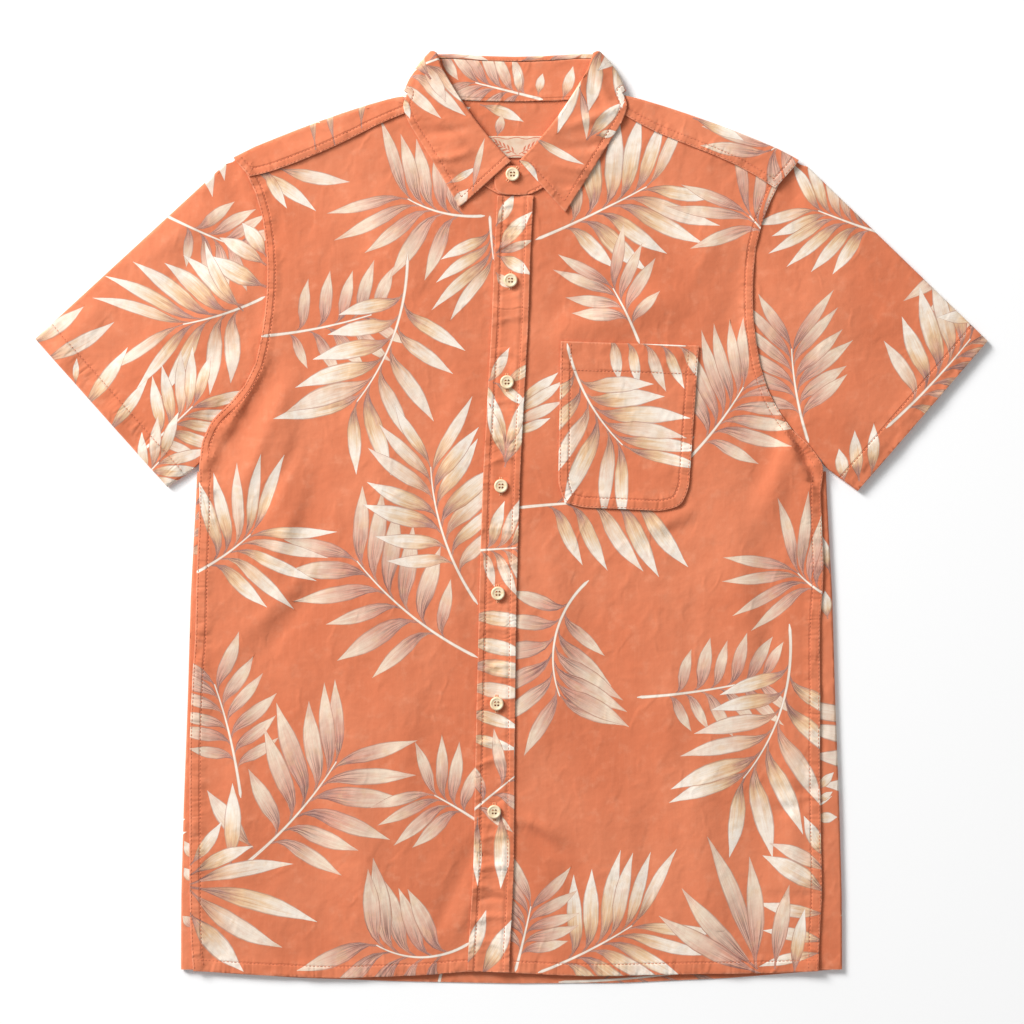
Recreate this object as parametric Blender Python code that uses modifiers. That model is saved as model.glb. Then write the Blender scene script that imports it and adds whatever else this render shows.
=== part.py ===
"""A short-sleeved shirt, buttoned up and laid flat on its back with the collar turned down.

Frame: metres, +X towards the wearer's left, +Y towards the collar, +Z up from the surface that it lies on.
Every number in the tables is in millimetres. A piece of cloth is given by its outer face, the right side of
the fabric, as rows of points; a Solidify modifier gives it its wall on the inside of that face.
"""

import math

import bmesh
import bpy
from mathutils import Vector
from mathutils.bvhtree import BVHTree

MM = 0.001
MERGE = 0.00001
NAME = "hawaiian_shirt"

# Cloth and layers
WALL = 1.0
GAP = 0.4
STEP = WALL + GAP
LAP = 5.0
FOLD_STEPS = 4

# Heights of outer faces above the table
SLEEVE_UNDER = STEP
SIDE_WRAP = 2 * WALL + 1.8
FRONT_EDGE = SIDE_WRAP + STEP
YOKE_FLAP = FRONT_EDGE + STEP
HEM_TOP = 3.6
BUTTON_STAND = 3.1
UNDER_BAND = BUTTON_STAND + STEP
NECK_RISE = 0.9
NECK_RISE_Y = 225.0
LEAF_LIFT = STEP
LEAF_LIFT_Y = 322.0
LEAF_HALF = 128.0
NECK_INSIDE = 3 * STEP + 0.3
ROLL = 3.8

# Body, by y: the folds at the sides, the seams in front of them and the back's armholes
HEM_Y = -376.4
ARMPIT_Y = 38.0
YOKE_SEAM_Y = 250.0
YOKE_LAP = 6.0
SIDE_FOLD = ((-380, 274.0), (-317, 273.8), (-243, 271.8), (-156, 268.5), (-68, 266.0), (31, 260.8),
             (60, 260.5))
BACK_ARMHOLE = ((38, 258.6), (60, 252), (80, 240), (100, 229), (120, 220), (140, 214), (165, 209), (190, 207),
                (220, 207.5), (250, 211))
BACK_HEM = ((-273, -374.4), (-221, -379.4), (-146, -383.4), (-79, -384.9), (-9, -386.4), (67, -386.4),
            (123, -385.3), (166, -382.9), (213, -379.7), (240, -377.1), (273, -374.4))
FRONT_HEM = ((-263, -375.4), (-221, -378.4), (-146, -382.0), (-64, -378.6), (-35, -375.9), (-12, -376.4),
             (13, -377.7), (58, -380.0), (98, -379.5), (149, -378.1), (213, -377.5), (254, -375.5))
SIDE_SEAM = {
    "right": ((-263.5, -375.4), (-265.2, -357), (-266.2, -325), (-266.6, -267), (-266.4, -184),
              (-265.2, -157), (-263.9, -125), (-261.9, -99), (-260.7, -46), (-258.5, 3), (-258.6, 43)),
    "left": ((254.0, -375.5), (255, -347), (256.9, -315), (256.9, -293), (256, -262), (255.2, -192),
             (255.5, -152), (255.2, -94), (256, -78), (258.3, -42), (256, 19), (258.6, 43)),
}
ARMHOLE = {
    "right": ((-258.6, 43), (-256, 65), (-251, 77), (-242, 87), (-233, 95), (-224, 106), (-217, 116),
              (-210.8, 132), (-204.9, 164), (-202.2, 192), (-202.7, 221), (-205.6, 245), (-210.8, 266),
              (-220.5, 287)),
    "left": ((258.6, 43), (250, 56), (243, 63.5), (230, 75), (222, 87), (213, 104), (207, 122), (203.4, 139),
             (199.8, 170), (200, 199), (202, 221), (205, 236), (212, 257), (223.5, 280)),
}
YOKE_FRONT_SEAM = {
    "right": ((-216.7, 282.2), (-200.4, 286), (-175.5, 295), (-142.4, 309), (-109, 326), (-80, 338)),
    "left": ((218.3, 272.7), (196, 286.5), (173, 297.6), (123.3, 317.5), (95.9, 331.6), (86, 338)),
}
SHOULDER = {
    "right": ((-230.3, 298.4), (-217.9, 305), (-187.2, 317.5), (-154.8, 329.9), (-117.4, 342.4), (-84, 351)),
    "left": ((238.3, 296.3), (222, 305), (192.1, 317.5), (158.9, 329.9), (121.6, 342.4), (90, 351)),
}
NECKLINE = {
    "right": ((-80, 345), (-77, 338), (-67.5, 318.5), (-47.7, 297), (-28, 283), (-9.5, 271.5), (15.5, 271.5)),
    "left": ((86, 345), (83, 338), (73.5, 318.5), (53.7, 297), (34, 283), (15.5, 271.5), (12.1, 271.5)),
}
# The inner yoke's edge: below the shoulder folds, in from them, and in again at the armholes
INNER_YOKE_DOWN = 7.0
INNER_YOKE_IN = 2.5
INNER_YOKE_END = 10.0
BACK_NECK = ((-84, 351), (-60, 347.5), (-30, 346), (3, 345.5), (36, 346), (66, 347.5), (90, 351))

# Placket band: its centre and half width, by y
BAND_CENTRE = ((-376.4, -19.2), (-352, -18.3), (-319, -16.2), (-284, -14.6), (-228, -14), (-160, -13),
               (-52, -11), (-29, -10.2), (39, -8), (112, -4), (163, -1.1), (214, 0.5), (272, 3.5))
BAND_HALF = ((-376.4, 17.4), (-100, 15.6), (266, 15.0))
BAND_TOP_Y = 266.5
# The fronts under it: columns of cells, x of their edge from the band's centre, and from there to the column
# that ends at the neck's corner
UNDER_PLACKET = {"right": (2, 12.0, -30.0), "left": (1, 8.6, 10.0)}

# Pocket
POCKET_TOP = ((40.8, 145.9), (155.1, 142.3))
POCKET_LEFT = ((38.6, 27.5), (40.8, 145.9))
POCKET_RIGHT = ((146.8, 24.5), (155.1, 142.3))
POCKET_BOTTOM = ((38.6, 27.5), (39.6, 20.0), (43.5, 13.0), (50.0, 9.0), (60.0, 8.2), (90.0, 7.2),
                 (124.0, 5.4), (134.0, 6.4), (141.5, 10.8), (145.8, 17.0), (146.8, 24.5))

# Sleeves: the cuff's two corners, and the folds that carry on from the shoulder and from the armpit
CUFF = {"right": ((-394.7, 148.2), (-285.1, 25.3)), "left": ((394.7, 146.5), (286.8, 22.0))}
SLEEVE_HEAD = {"right": (-230.3, 298.4), "left": (238.3, 296.3)}
SLEEVE_PIT = {"right": (-261.0, 41.9), "left": (261.0, 41.0)}
SLEEVE_AXIS = {"right": (-0.8, -0.6), "left": (0.8, -0.6)}
SLEEVE_PUFF = 1.5
SLEEVE_CLEAR = 10.0
SLEEVE_TUCK = 3.0

# Collar, right half from the front edge to the middle of the back: the neck seam, the roll and the leaf's
# edge, then how high the roll starts on the right half and on the left half. The left half mirrors it about
# COLLAR_X.
COLLAR_X = 3.0
COLLAR = (
    # neck x, y      roll x, y       edge x, y       rise right, left
    (-9.5, 267.0, -0.4, 295.1, -43.2, 256.4, 4.7, 6.2),
    (-30.0, 279.0, -17.0, 313.0, -58.0, 283.0, 5.6, 6.6),
    (-50.0, 293.0, -33.0, 333.0, -72.5, 306.5, 6.4, 6.9),
    (-70.0, 315.0, -47.0, 354.0, -86.0, 328.5, 6.8, 7.0),
    (-79.0, 333.0, -57.0, 371.0, -90.3, 342.0, 7.2, 7.2),
)
COLLAR_FOLD = ((-81.0, 352.0), (-66.0, 387.19), (-89.0, 353.5))
COLLAR_BACK = (
    (-62.0, 347.5, -48.0, 384.4, -68.0, 344.0),
    (-32.0, 345.2, -25.0, 382.8, -34.0, 341.0),
    (3.0, 344.5, 3.0, 382.0, 3.0, 340.0),
)
LEFT_POINT = (44.4, 252.7)
STRIP = 4.0
FOLD_BULGE = 2.8
FOLD_TILT = 0.3
# Shares of the way from the roll to the leaf's edge, and from the neck seam to the top of the stand
FALL = (0.3, 0.55, 0.8, 1.0)
STAND_SHARES = (0.0, 0.16, 0.5, 0.8, 1.0)
STAND_LOW_END = ((0.0, 266.8, 1.0, 291.2), (10.0, 266.8, 10.0, 291.0))
STAND_HIGH_END = ((4.0, 267.0, 2.0, 291.2), (-6.0, 267.0, -6.0, 291.0), (-11.6, 268.6, -11.4, 289.2),
                  (-14.2, 272.6, -14.2, 284.6))

# Largest folds of the two fronts: from, to, half width, rise
FRONT_FOLDS = (
    (-162, -65, -206, -123, 17, -1.3),
    (-182, -48, -232, -98, 17, 1.3),
    (-204, 122, -233, 40, 16, 1.2),
    (-190, 60, -204, -60, 24, 0.6),
    (-120, 260, -66, 190, 22, 1.0),
    (-40, -285, -67, -339, 17, -1.0),
    (-140, -200, -120, -330, 28, 0.8),
    (-60, 120, -78, -60, 26, -0.7),
    (30, -270, 72, -336, 17, -1.0),
    (44, 166, 130, 184, 17, 1.2),
    (66, 282, 120, 236, 20, 1.2),
    (235, 76, 214, 4, 17, 1.4),
    (178, 20, 196, -130, 26, 0.9),
    (60, -60, 90, -210, 28, -0.7),
    (150, -230, 168, -340, 26, 0.9),
    (176, 250, 150, 196, 20, 0.9),
)
FRONT_BODY = 4.2
LOWEST_FRONT = 3.2
# Folds of the sleeves' upper layers
SLEEVE_FOLDS = (
    (-262, 236, -318, 190, 18, 0.6),
    (-236, 118, -292, 66, 16, 0.7),
    (-300, 150, -350, 120, 20, -0.7),
    (262, 232, 316, 186, 18, 0.6),
    (238, 110, 290, 60, 16, 0.7),
    (300, 150, 352, 122, 20, -0.7),
)

# Buttons: centres, with the collar's first, and the turned profile from the middle of the top to the back's
BUTTONS = (("button_collar", 0.8, 283.9), ("button_1", -0.8, 196.3), ("button_2", -3.7, 112.1),
           ("button_3", -8.7, 26.1), ("button_4", -11.2, -62.7), ("button_5", -12.2, -154.0),
           ("button_6", -14.3, -243.4))
BUTTON_PROFILE = ((0.0, 1.7), (3.3, 1.7), (4.3, 2.4), (5.1, 2.5), (5.7, 1.6), (5.2, 0.5), (3.6, 0.0),
                  (0.0, 0.0))
BUTTON_SIDES = 20
HOLE_RADIUS = 0.75
HOLE_SPACING = 2.4
DRILL_LENGTH = 8.0
BUTTON_REACH = 5.0

LABEL_LOW = (-20.0, 298.0)
LABEL_HIGH = (30.0, 316.0)

# Name: colour, roughness
FINISHES = {
    "printed_cotton": ((0.78, 0.30, 0.15), 0.85),
    "plain_label": ((0.84, 0.76, 0.60), 0.8),
    "button_resin": ((0.86, 0.72, 0.47), 0.35),
}
SIDES = {"right": -1.0, "left": 1.0}


def clear_scene():
    for thing in list(bpy.data.objects):
        bpy.data.objects.remove(thing, do_unlink=True)


def collection(name):
    made = bpy.data.collections.new(name)
    bpy.context.scene.collection.children.link(made)
    return made


def finish(name):
    """The named finish as a material, made once."""
    if name in bpy.data.materials:
        return bpy.data.materials[name]
    colour, roughness = FINISHES[name]
    made = bpy.data.materials.new(name)
    made.use_nodes = True
    shader = made.node_tree.nodes["Principled BSDF"]
    shader.inputs["Base Color"].default_value = (*colour, 1.0)
    shader.inputs["Roughness"].default_value = roughness
    shader.inputs["Metallic"].default_value = 0.0
    return made


# --- Lines and patches


def read(table, where):
    """The table's second column at this value of its first, on straight lines between the rows."""
    for (low, a), (high, b) in zip(table, table[1:]):
        if where <= high:
            share = max(0.0, (where - low) / (high - low))
            return a + (b - a) * share
    return table[-1][1]


def spread(rows, parts):
    """Rows of numbers with parts - 1 more between each two, on a smooth curve through them all."""
    rows = [Vector(row) for row in rows]
    ends = [2 * rows[0] - rows[1], *rows, 2 * rows[-1] - rows[-2]]
    found = []
    for before, start, end, after in zip(ends, ends[1:], ends[2:], ends[3:]):
        for part in range(parts):
            t = part / parts
            bend = (2 * start, end - before, 2 * before - 5 * start + 4 * end - after,
                    3 * start - before - 3 * end + after)
            found.append(0.5 * (bend[0] + bend[1] * t + bend[2] * t**2 + bend[3] * t**3))
    return [*found, rows[-1]]


def stations(points, count):
    """count + 1 points, evenly spaced along the smooth flat curve through these."""
    line = spread([(point[0], point[1], 0) for point in points], 6)
    reach = [0.0]
    for a, b in zip(line, line[1:]):
        reach.append(reach[-1] + (b - a).length)
    found = []
    for index in range(count + 1):
        along = reach[-1] * index / count
        piece = max(i for i in range(len(line) - 1) if reach[i] <= along + 1e-9)
        share = (along - reach[piece]) / (reach[piece + 1] - reach[piece])
        found.append(line[piece].lerp(line[piece + 1], share))
    return found


def joined(*lines):
    """Lines end to end, each one's first point given once."""
    found = list(lines[0])
    for line in lines[1:]:
        found.extend(line[1:])
    return found


def patch(bottom, top, left, right):
    """Rows of points that fill four sides given as equally long lists."""
    columns, rows = len(bottom) - 1, len(left) - 1
    found = []
    for j in range(rows + 1):
        v = j / rows
        row = []
        for i in range(columns + 1):
            u = i / columns
            sides = bottom[i].lerp(top[i], v) + left[j].lerp(right[j], u)
            corners = bottom[0].lerp(bottom[-1], u).lerp(top[0].lerp(top[-1], u), v)
            row.append(sides - corners)
        found.append(row)
    return found


def turn(edge, out, low, high):
    """Points round a fold whose outermost line is at edge, from the lower layer's face to the upper's."""
    radius = (high - low) / 2
    out = Vector((out[0], out[1], 0)).normalized()
    centre = Vector((edge[0], edge[1], low + radius)) - out * radius
    found = []
    for step in range(FOLD_STEPS + 1):
        angle = math.pi * (step / FOLD_STEPS - 0.5)
        found.append(centre + radius * (out * math.cos(angle) + Vector((0, 0, 1)) * math.sin(angle)))
    return found


def outward(line, index, side):
    """The flat direction square to a line of points, on the side where y grows, or away from the middle."""
    before, after = line[max(index - 1, 0)], line[min(index + 1, len(line) - 1)]
    along = (after - before).normalized()
    out = Vector((-along.y, along.x, 0))
    return out if out.dot(side) > 0 else -out


def ease(share):
    share = min(1.0, max(0.0, share))
    return share * share * (3 - 2 * share)


def folds_at(x, y, folds):
    """How far the soft folds raise or lower the cloth here."""
    rise = 0.0
    for x0, y0, x1, y1, half_width, height in folds:
        along = Vector((x1 - x0, y1 - y0))
        share = min(1.0, max(0.0, Vector((x - x0, y - y0)).dot(along) / along.length_squared))
        away = (Vector((x0, y0)) + along * share - Vector((x, y))).length
        rise += height * math.exp(-((away / half_width) ** 2))
    return rise


class Beneath:
    """The faces that a piece lies on, and their height."""

    RING = 6

    def __init__(self, *sheets):
        self.trees = []
        for rows in sheets:
            width = len(rows[0])
            corners = [point for row in rows for point in row]
            quads = [(j * width + i, j * width + i + 1, (j + 1) * width + i + 1, (j + 1) * width + i)
                     for j in range(len(rows) - 1) for i in range(width - 1)]
            self.trees.append(BVHTree.FromPolygons(corners, quads))

    def top(self, x, y):
        found = 0.0
        for tree in self.trees:
            hit = tree.ray_cast(Vector((x, y, 100.0)), Vector((0, 0, -1)))[0]
            if hit:
                found = max(found, hit.z)
        return found

    def highest(self, x, y, reach):
        around = [self.top(x, y)]
        for index in range(self.RING):
            angle = math.tau * index / self.RING
            around.append(self.top(x + reach * math.cos(angle), y + reach * math.sin(angle)))
        return max(around)

    def drape(self, x, y, reach):
        """A smooth height that clears everything beneath within this reach."""
        here = self.highest(x, y, reach)
        total = here
        for index in range(self.RING):
            angle = math.tau * (index + 0.5) / self.RING
            total += self.highest(x + reach * math.cos(angle), y + reach * math.sin(angle), reach)
        return max(here, total / (self.RING + 1))


# --- Making objects


def cloth(name, rows, parts, face_down=False, ring=False, keep=None, finish_name="printed_cotton"):
    """A wall of cloth whose outer face passes through these rows of points."""
    row_count, column_count = len(rows) - 1, len(rows[0]) - 1
    shape = bmesh.new()
    bmesh.ops.create_grid(shape, x_segments=column_count, y_segments=row_count, size=0.5)
    places = {vert: (round((vert.co.y + 0.5) * row_count), round((vert.co.x + 0.5) * column_count))
              for vert in shape.verts}
    if keep:
        dropped = []
        for face in shape.faces:
            row = min(places[vert][0] for vert in face.verts)
            column = min(places[vert][1] for vert in face.verts)
            if not keep(row, column):
                dropped.append(face)
        bmesh.ops.delete(shape, geom=dropped, context="FACES")
    for vert in shape.verts:
        row, column = places[vert]
        vert.co = rows[row][column] * MM
    if ring:
        bmesh.ops.remove_doubles(shape, verts=shape.verts, dist=1e-6)
    if face_down:
        bmesh.ops.reverse_faces(shape, faces=shape.faces)
    mesh = bpy.data.meshes.new(name)
    shape.to_mesh(mesh)
    shape.free()
    mesh.shade_smooth()
    mesh.materials.append(finish(finish_name))
    piece = bpy.data.objects.new(name, mesh)
    parts.objects.link(piece)
    wall = piece.modifiers.new("wall", "SOLIDIFY")
    wall.thickness = WALL * MM
    wall.offset = -1.0
    wall.use_even_offset = True
    return piece


# --- Pieces


def wrap_round(side, nominal, y):
    """Points round the fold at one side of the back, from its lower layer to its edge under the front."""
    sign = SIDES[side]
    seam = read([(y, x) for x, y in SIDE_SEAM[side]], nominal)
    bend = turn((sign * read(SIDE_FOLD, nominal), y), (sign, 0), 0, SIDE_WRAP)
    return [*bend[1:], Vector((seam - sign * LAP, y, SIDE_WRAP))]


def back_rows():
    """The back: its lower layer, and below the armpits the sides that wrap round to the front."""
    low_rows, high_rows, inner = 20, 9, 6
    wraps = FOLD_STEPS + 1
    found = []
    for index in range(low_rows + high_rows + 1):
        below = min(1.0, index / low_rows)
        above = max(0.0, (index - low_rows) / high_rows)
        nominal = HEM_Y + (ARMPIT_Y - HEM_Y) * below + (YOKE_SEAM_Y - 0.2 - ARMPIT_Y) * above
        if above:
            half = read(BACK_ARMHOLE, nominal)
            flat = [Vector((-half + 2 * half * i / inner, nominal, 0)) for i in range(inner + 1)]
            found.append([flat[0]] * wraps + flat + [flat[-1]] * wraps)
            continue
        fold = read(SIDE_FOLD, nominal)
        reach = fold - SIDE_WRAP / 2
        across = [-fold, *(-reach + 2 * reach * i / inner for i in range(inner + 1)), fold]
        heights = [read(BACK_HEM, x) * (1 - below) + ARMPIT_Y * below for x in across]
        flat = [Vector((x, y, 0)) for x, y in zip(across[1:-1], heights[1:-1])]
        found.append([*reversed(wrap_round("right", nominal, heights[0])), *flat,
                      *wrap_round("left", nominal, heights[-1])])

    def keep(row, column):
        return row < low_rows or wraps <= column < wraps + inner

    return found, keep


def front_height(side, point, from_side, from_band, from_hem, from_top):
    """The height of a front's outer face at a point, which lies so many cells away from each of its edges."""
    at_edge = max(ease(1 - from_side / 2.5), ease(1 - from_top / 4))
    window = ease(from_side / 2.2) * ease(from_hem / 2.5) * ease(from_top / 3)
    height = max(FRONT_BODY + window * folds_at(point.x, point.y, FRONT_FOLDS), LOWEST_FRONT)
    height += (FRONT_EDGE - height) * at_edge
    if from_side:
        height += (HEM_TOP - height) * ease(1 - from_hem / 2.5)
    level = BUTTON_STAND if side == "right" else UNDER_BAND
    level += NECK_RISE * ease((point.y - NECK_RISE_Y) / 25)
    return height + (level - height) * ease(1 - from_band / 2)


def front_rows(side):
    """One front, from its side seam and armhole to its edge under the placket."""
    seam_rows, armhole_rows = 20, 13
    yoke_columns, neck_columns = 7, 4
    rows, main = seam_rows + armhole_rows, yoke_columns + neck_columns
    band_columns, under_band, to_neck = UNDER_PLACKET[side]
    outer = joined(stations(SIDE_SEAM[side], seam_rows), stations(ARMHOLE[side], armhole_rows))
    neck = NECKLINE[side]
    seam = [ARMHOLE[side][-1], *((x, y + YOKE_LAP) for x, y in YOKE_FRONT_SEAM[side][1:-1]), neck[0]]
    top = joined(stations(seam, yoke_columns), stations(neck[:-1], neck_columns),
                 stations(neck[-2:], band_columns))
    centre = []
    for index in range(rows + 1):
        y = HEM_Y + (top[-1].y - HEM_Y) * index / rows
        centre.append(Vector((read(BAND_CENTRE, y) + under_band, y, 0)))
    centre[-1] = top[-1].copy()
    stops = [outer[0].x, centre[0].x + to_neck, centre[0].x]
    across = [stops[0] + (stops[1] - stops[0]) * i / main for i in range(main + 1)]
    across += [stops[1] + (stops[2] - stops[1]) * i / band_columns for i in range(1, band_columns + 1)]
    hem = [Vector((x, read(FRONT_HEM, x), 0)) for x in across]
    outer[0], centre[0] = hem[0].copy(), hem[-1].copy()
    found = patch(hem, top, outer, centre)
    for j, row in enumerate(found):
        for i, point in enumerate(row):
            point.z = front_height(side, point, i, main - i, j, rows - j)
    return found if side == "right" else [list(reversed(row)) for row in found]


def placket_rows(beneath):
    rows, columns = 36, 4
    found = []
    for j in range(rows + 1):
        y = HEM_Y + (BAND_TOP_Y - HEM_Y) * j / rows
        row = []
        for i in range(columns + 1):
            x = read(BAND_CENTRE, y) + read(BAND_HALF, y) * (2 * i / columns - 1)
            here = y if j else read(FRONT_HEM, x)
            row.append(Vector((x, here, beneath.drape(x, here, 4.0) + STEP)))
        found.append(row)
    return found


def pocket_rows(beneath):
    columns, rows = 8, 9
    flat = patch(stations(POCKET_BOTTOM, columns),
                 stations(POCKET_TOP, columns),
                 stations(POCKET_LEFT, rows),
                 stations(POCKET_RIGHT, rows))
    return [[Vector((p.x, p.y, beneath.drape(p.x, p.y, 5.0) + STEP)) for p in row] for row in flat]


def neck_lift(x, y):
    """How far the yoke is raised by the collar leaf that lies under it."""
    return LEAF_LIFT * ease((y - LEAF_LIFT_Y) / 12) * ease((LEAF_HALF - abs(x - COLLAR_X)) / 22)


def yoke_rows():
    """The outer yoke: under the back of the neck, round both shoulders and down to the front seams."""
    flap, neck_columns, under_rows, flap_rows = 8, 8, 6, 2
    right, left = stations(SHOULDER["right"], flap), stations(SHOULDER["left"][::-1], flap)
    top = joined(right, stations(BACK_NECK, neck_columns), left)
    behind_neck = range(flap + 1, flap + neck_columns)
    seams = [*stations(YOKE_FRONT_SEAM["right"], flap), *(None for _ in behind_neck),
             *stations(YOKE_FRONT_SEAM["left"][::-1], flap)]
    low_half = read(BACK_ARMHOLE, YOKE_SEAM_Y)
    lanes = []
    for i, (edge, seam) in enumerate(zip(top, seams)):
        lift = neck_lift(edge.x, edge.y)
        if i in behind_neck:
            bend = [Vector((edge.x, edge.y, lift))] * (FOLD_STEPS + 1)
            seam = edge
        else:
            line, index = (right, i) if i <= flap else (left, i - flap - neck_columns)
            bend = turn(edge, outward(line, index, Vector((0, 1, 0))), lift, YOKE_FLAP)
        share = (edge.x - top[0].x) / (top[-1].x - top[0].x)
        start = Vector((-low_half + 2 * low_half * share, YOKE_SEAM_Y, 0))
        under = [start.lerp(bend[0], j / under_rows) for j in range(under_rows)]
        end = Vector((seam.x, seam.y, bend[-1].z))
        lanes.append([*(Vector((p.x, p.y, neck_lift(p.x, p.y))) for p in under), *bend,
                      *(bend[-1].lerp(end, j / flap_rows) for j in range(1, flap_rows + 1))])
    rows = [list(row) for row in zip(*lanes)]

    def keep(row, column):
        return row < under_rows or column < flap or column >= flap + neck_columns

    flaps = [[row[part] for row in rows[under_rows + FOLD_STEPS:]]
             for part in (slice(flap + 1), slice(flap + neck_columns, None))]
    return rows, keep, rows[:under_rows + 1], flaps


def inner_yoke_rows(beneath):
    """The inner yoke: one layer over the outer yoke, from the back's top edge to the neck and shoulders."""
    side_columns, neck_columns, rows = 5, 8, 7
    sides = {}
    for side, sign in SIDES.items():
        edge = [(x - sign * INNER_YOKE_IN, y - INNER_YOKE_DOWN) for x, y in SHOULDER[side]]
        sides[side] = stations(edge, side_columns)
        sides[side][0].x -= sign * INNER_YOKE_END
    right, left = sides["right"], sides["left"][::-1]
    neck = stations([right[-1], *((x, y - WALL) for x, y in BACK_NECK[1:-1]), left[0]], neck_columns)
    top = joined(right, neck, left)
    half = read(BACK_ARMHOLE, YOKE_SEAM_Y) - LAP - INNER_YOKE_IN
    found = []
    for j in range(rows + 1):
        row = []
        for edge in top:
            share = (edge.x - top[0].x) / (top[-1].x - top[0].x)
            start = Vector((-half + 2 * half * share, YOKE_SEAM_Y - LAP, 0))
            p = start.lerp(edge, j / rows)
            row.append(Vector((p.x, p.y, STEP + beneath.drape(p.x, p.y, 4.0))))
        found.append(row)
    return found


def sleeve_height(point, across_share, along_share):
    """The height of a sleeve's upper layer, which arches between its two folds."""
    puff = math.sin(math.pi * across_share) ** 0.7 * math.sin(math.pi * 0.86 * along_share) ** 0.8
    rise = folds_at(point.x, point.y, SLEEVE_FOLDS) if 0 < along_share < 1 else 0.0
    return SIDE_WRAP + max(0.0, SLEEVE_PUFF * puff + rise)


def square_to(a, b, up):
    """The flat direction square to a line, towards +Y if up and towards -Y if not."""
    along = (b - a).normalized()
    out = Vector((-along.y, along.x, 0))
    return out if (out.y > 0) == up else -out


def sleeve_rows(side):
    """One sleeve as a ring of points for each row, from inside the armhole to the cuff."""
    across, body_rows = 9, 6
    sign, axis = SIDES[side], Vector((*SLEEVE_AXIS[side], 0))
    head, pit = Vector((*SLEEVE_HEAD[side], 0)), Vector((*SLEEVE_PIT[side], 0))
    cuff_top, cuff_pit = (Vector((*corner, 0)) for corner in CUFF[side])
    front = stations(ARMHOLE[side][::-1], across)
    behind = stations([head, *((sign * half, y) for y, half in reversed(BACK_ARMHOLE))], across)
    inside = [(-LAP, SLEEVE_UNDER), (1.5, SLEEVE_UNDER), (SLEEVE_CLEAR, 0.0)]
    rows = [(shift, 0.0, under) for shift, under in inside]
    rows += [(SLEEVE_CLEAR, index / body_rows, 0.0) for index in range(1, body_rows + 1)]
    found = []
    for number, (distance, to_cuff, under) in enumerate(rows):
        shift = axis * distance
        top, low = head + shift * 0.9, pit + shift
        if under:
            top.y -= SLEEVE_TUCK
        if not number:
            low.y += SLEEVE_TUCK / 2
        top, low = top.lerp(cuff_top, to_cuff), low.lerp(cuff_pit, to_cuff)
        bend_top = turn(top, square_to(head, cuff_top, True), under, SIDE_WRAP)
        bend_low = turn(low, square_to(pit, cuff_pit, False), under, SIDE_WRAP)
        upper, lower = [], []
        for i in range(1, across):
            at_cuff = cuff_top.lerp(cuff_pit, i / across)
            above = (front[i] + shift).lerp(at_cuff, to_cuff)
            along_share = max(0.0, (number - len(inside) + 1) / body_rows)
            above.z = sleeve_height(above, i / across, along_share)
            upper.append(above)
            below = (behind[i] + shift).lerp(at_cuff, to_cuff)
            lower.append(Vector((below.x, below.y, under)))
        ring = [*bend_top, *upper, *reversed(bend_low), *reversed(lower)]
        found.append([*ring, ring[0].copy()])
    return [list(reversed(row)) for row in found] if side == "right" else found


# --- Collar


def collar_half(side):
    """Front stations, fold and back stations of one half, as vectors of the COLLAR table's columns."""
    front = [list(row[:6]) + [row[6 if side == "right" else 7]] for row in COLLAR]
    fold = [list(point) for point in COLLAR_FOLD]
    back = [list(row) for row in COLLAR_BACK]
    if side == "left":
        for row in [*front, *back]:
            for column in (0, 2, 4):
                row[column] = 2 * COLLAR_X - row[column]
        for point in fold:
            point[0] = 2 * COLLAR_X - point[0]
        front[0][4], front[0][5] = LEFT_POINT
    return front, [Vector((*point, 0)) for point in fold], back


def flat_points(row):
    return [Vector((row[i], row[i + 1], 0)) for i in (0, 2, 4)]


def leaf_section(neck, roll, edge, strip_z, leaf_z):
    """Points of one section of the leaf: the strip at the seam, the roll and the fall to the edge."""
    to_neck, to_edge = (neck - roll).normalized(), (edge - roll).normalized()
    radius = abs(leaf_z - strip_z) / 2
    up = 1.0 if leaf_z > strip_z else -1.0
    found = [roll + to_neck * STRIP]
    found[0].z = strip_z
    for step in range(FOLD_STEPS + 1):
        angle = math.pi * (step / FOLD_STEPS - 0.5)
        inward = to_neck.lerp(to_edge, step / FOLD_STEPS).normalized()
        point = roll + inward * radius * (1 - math.cos(angle))
        point.z = (strip_z + leaf_z) / 2 + up * radius * math.sin(angle)
        found.append(point)
    return found


def fall_points(section, edge):
    start = section[-1]
    return [Vector((*start.xy.lerp(edge.xy, share), start.z)) for share in FALL]


def folded(column_front, column_back, edge_point, out, inset):
    """One column's points round the side of the neck, from its height in front to its height behind."""
    radius = (column_front - column_back) / 2
    bend = turn(edge_point - out * inset, out, column_back, column_front)
    return list(reversed(bend)) if radius > 0 else bend


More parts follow.
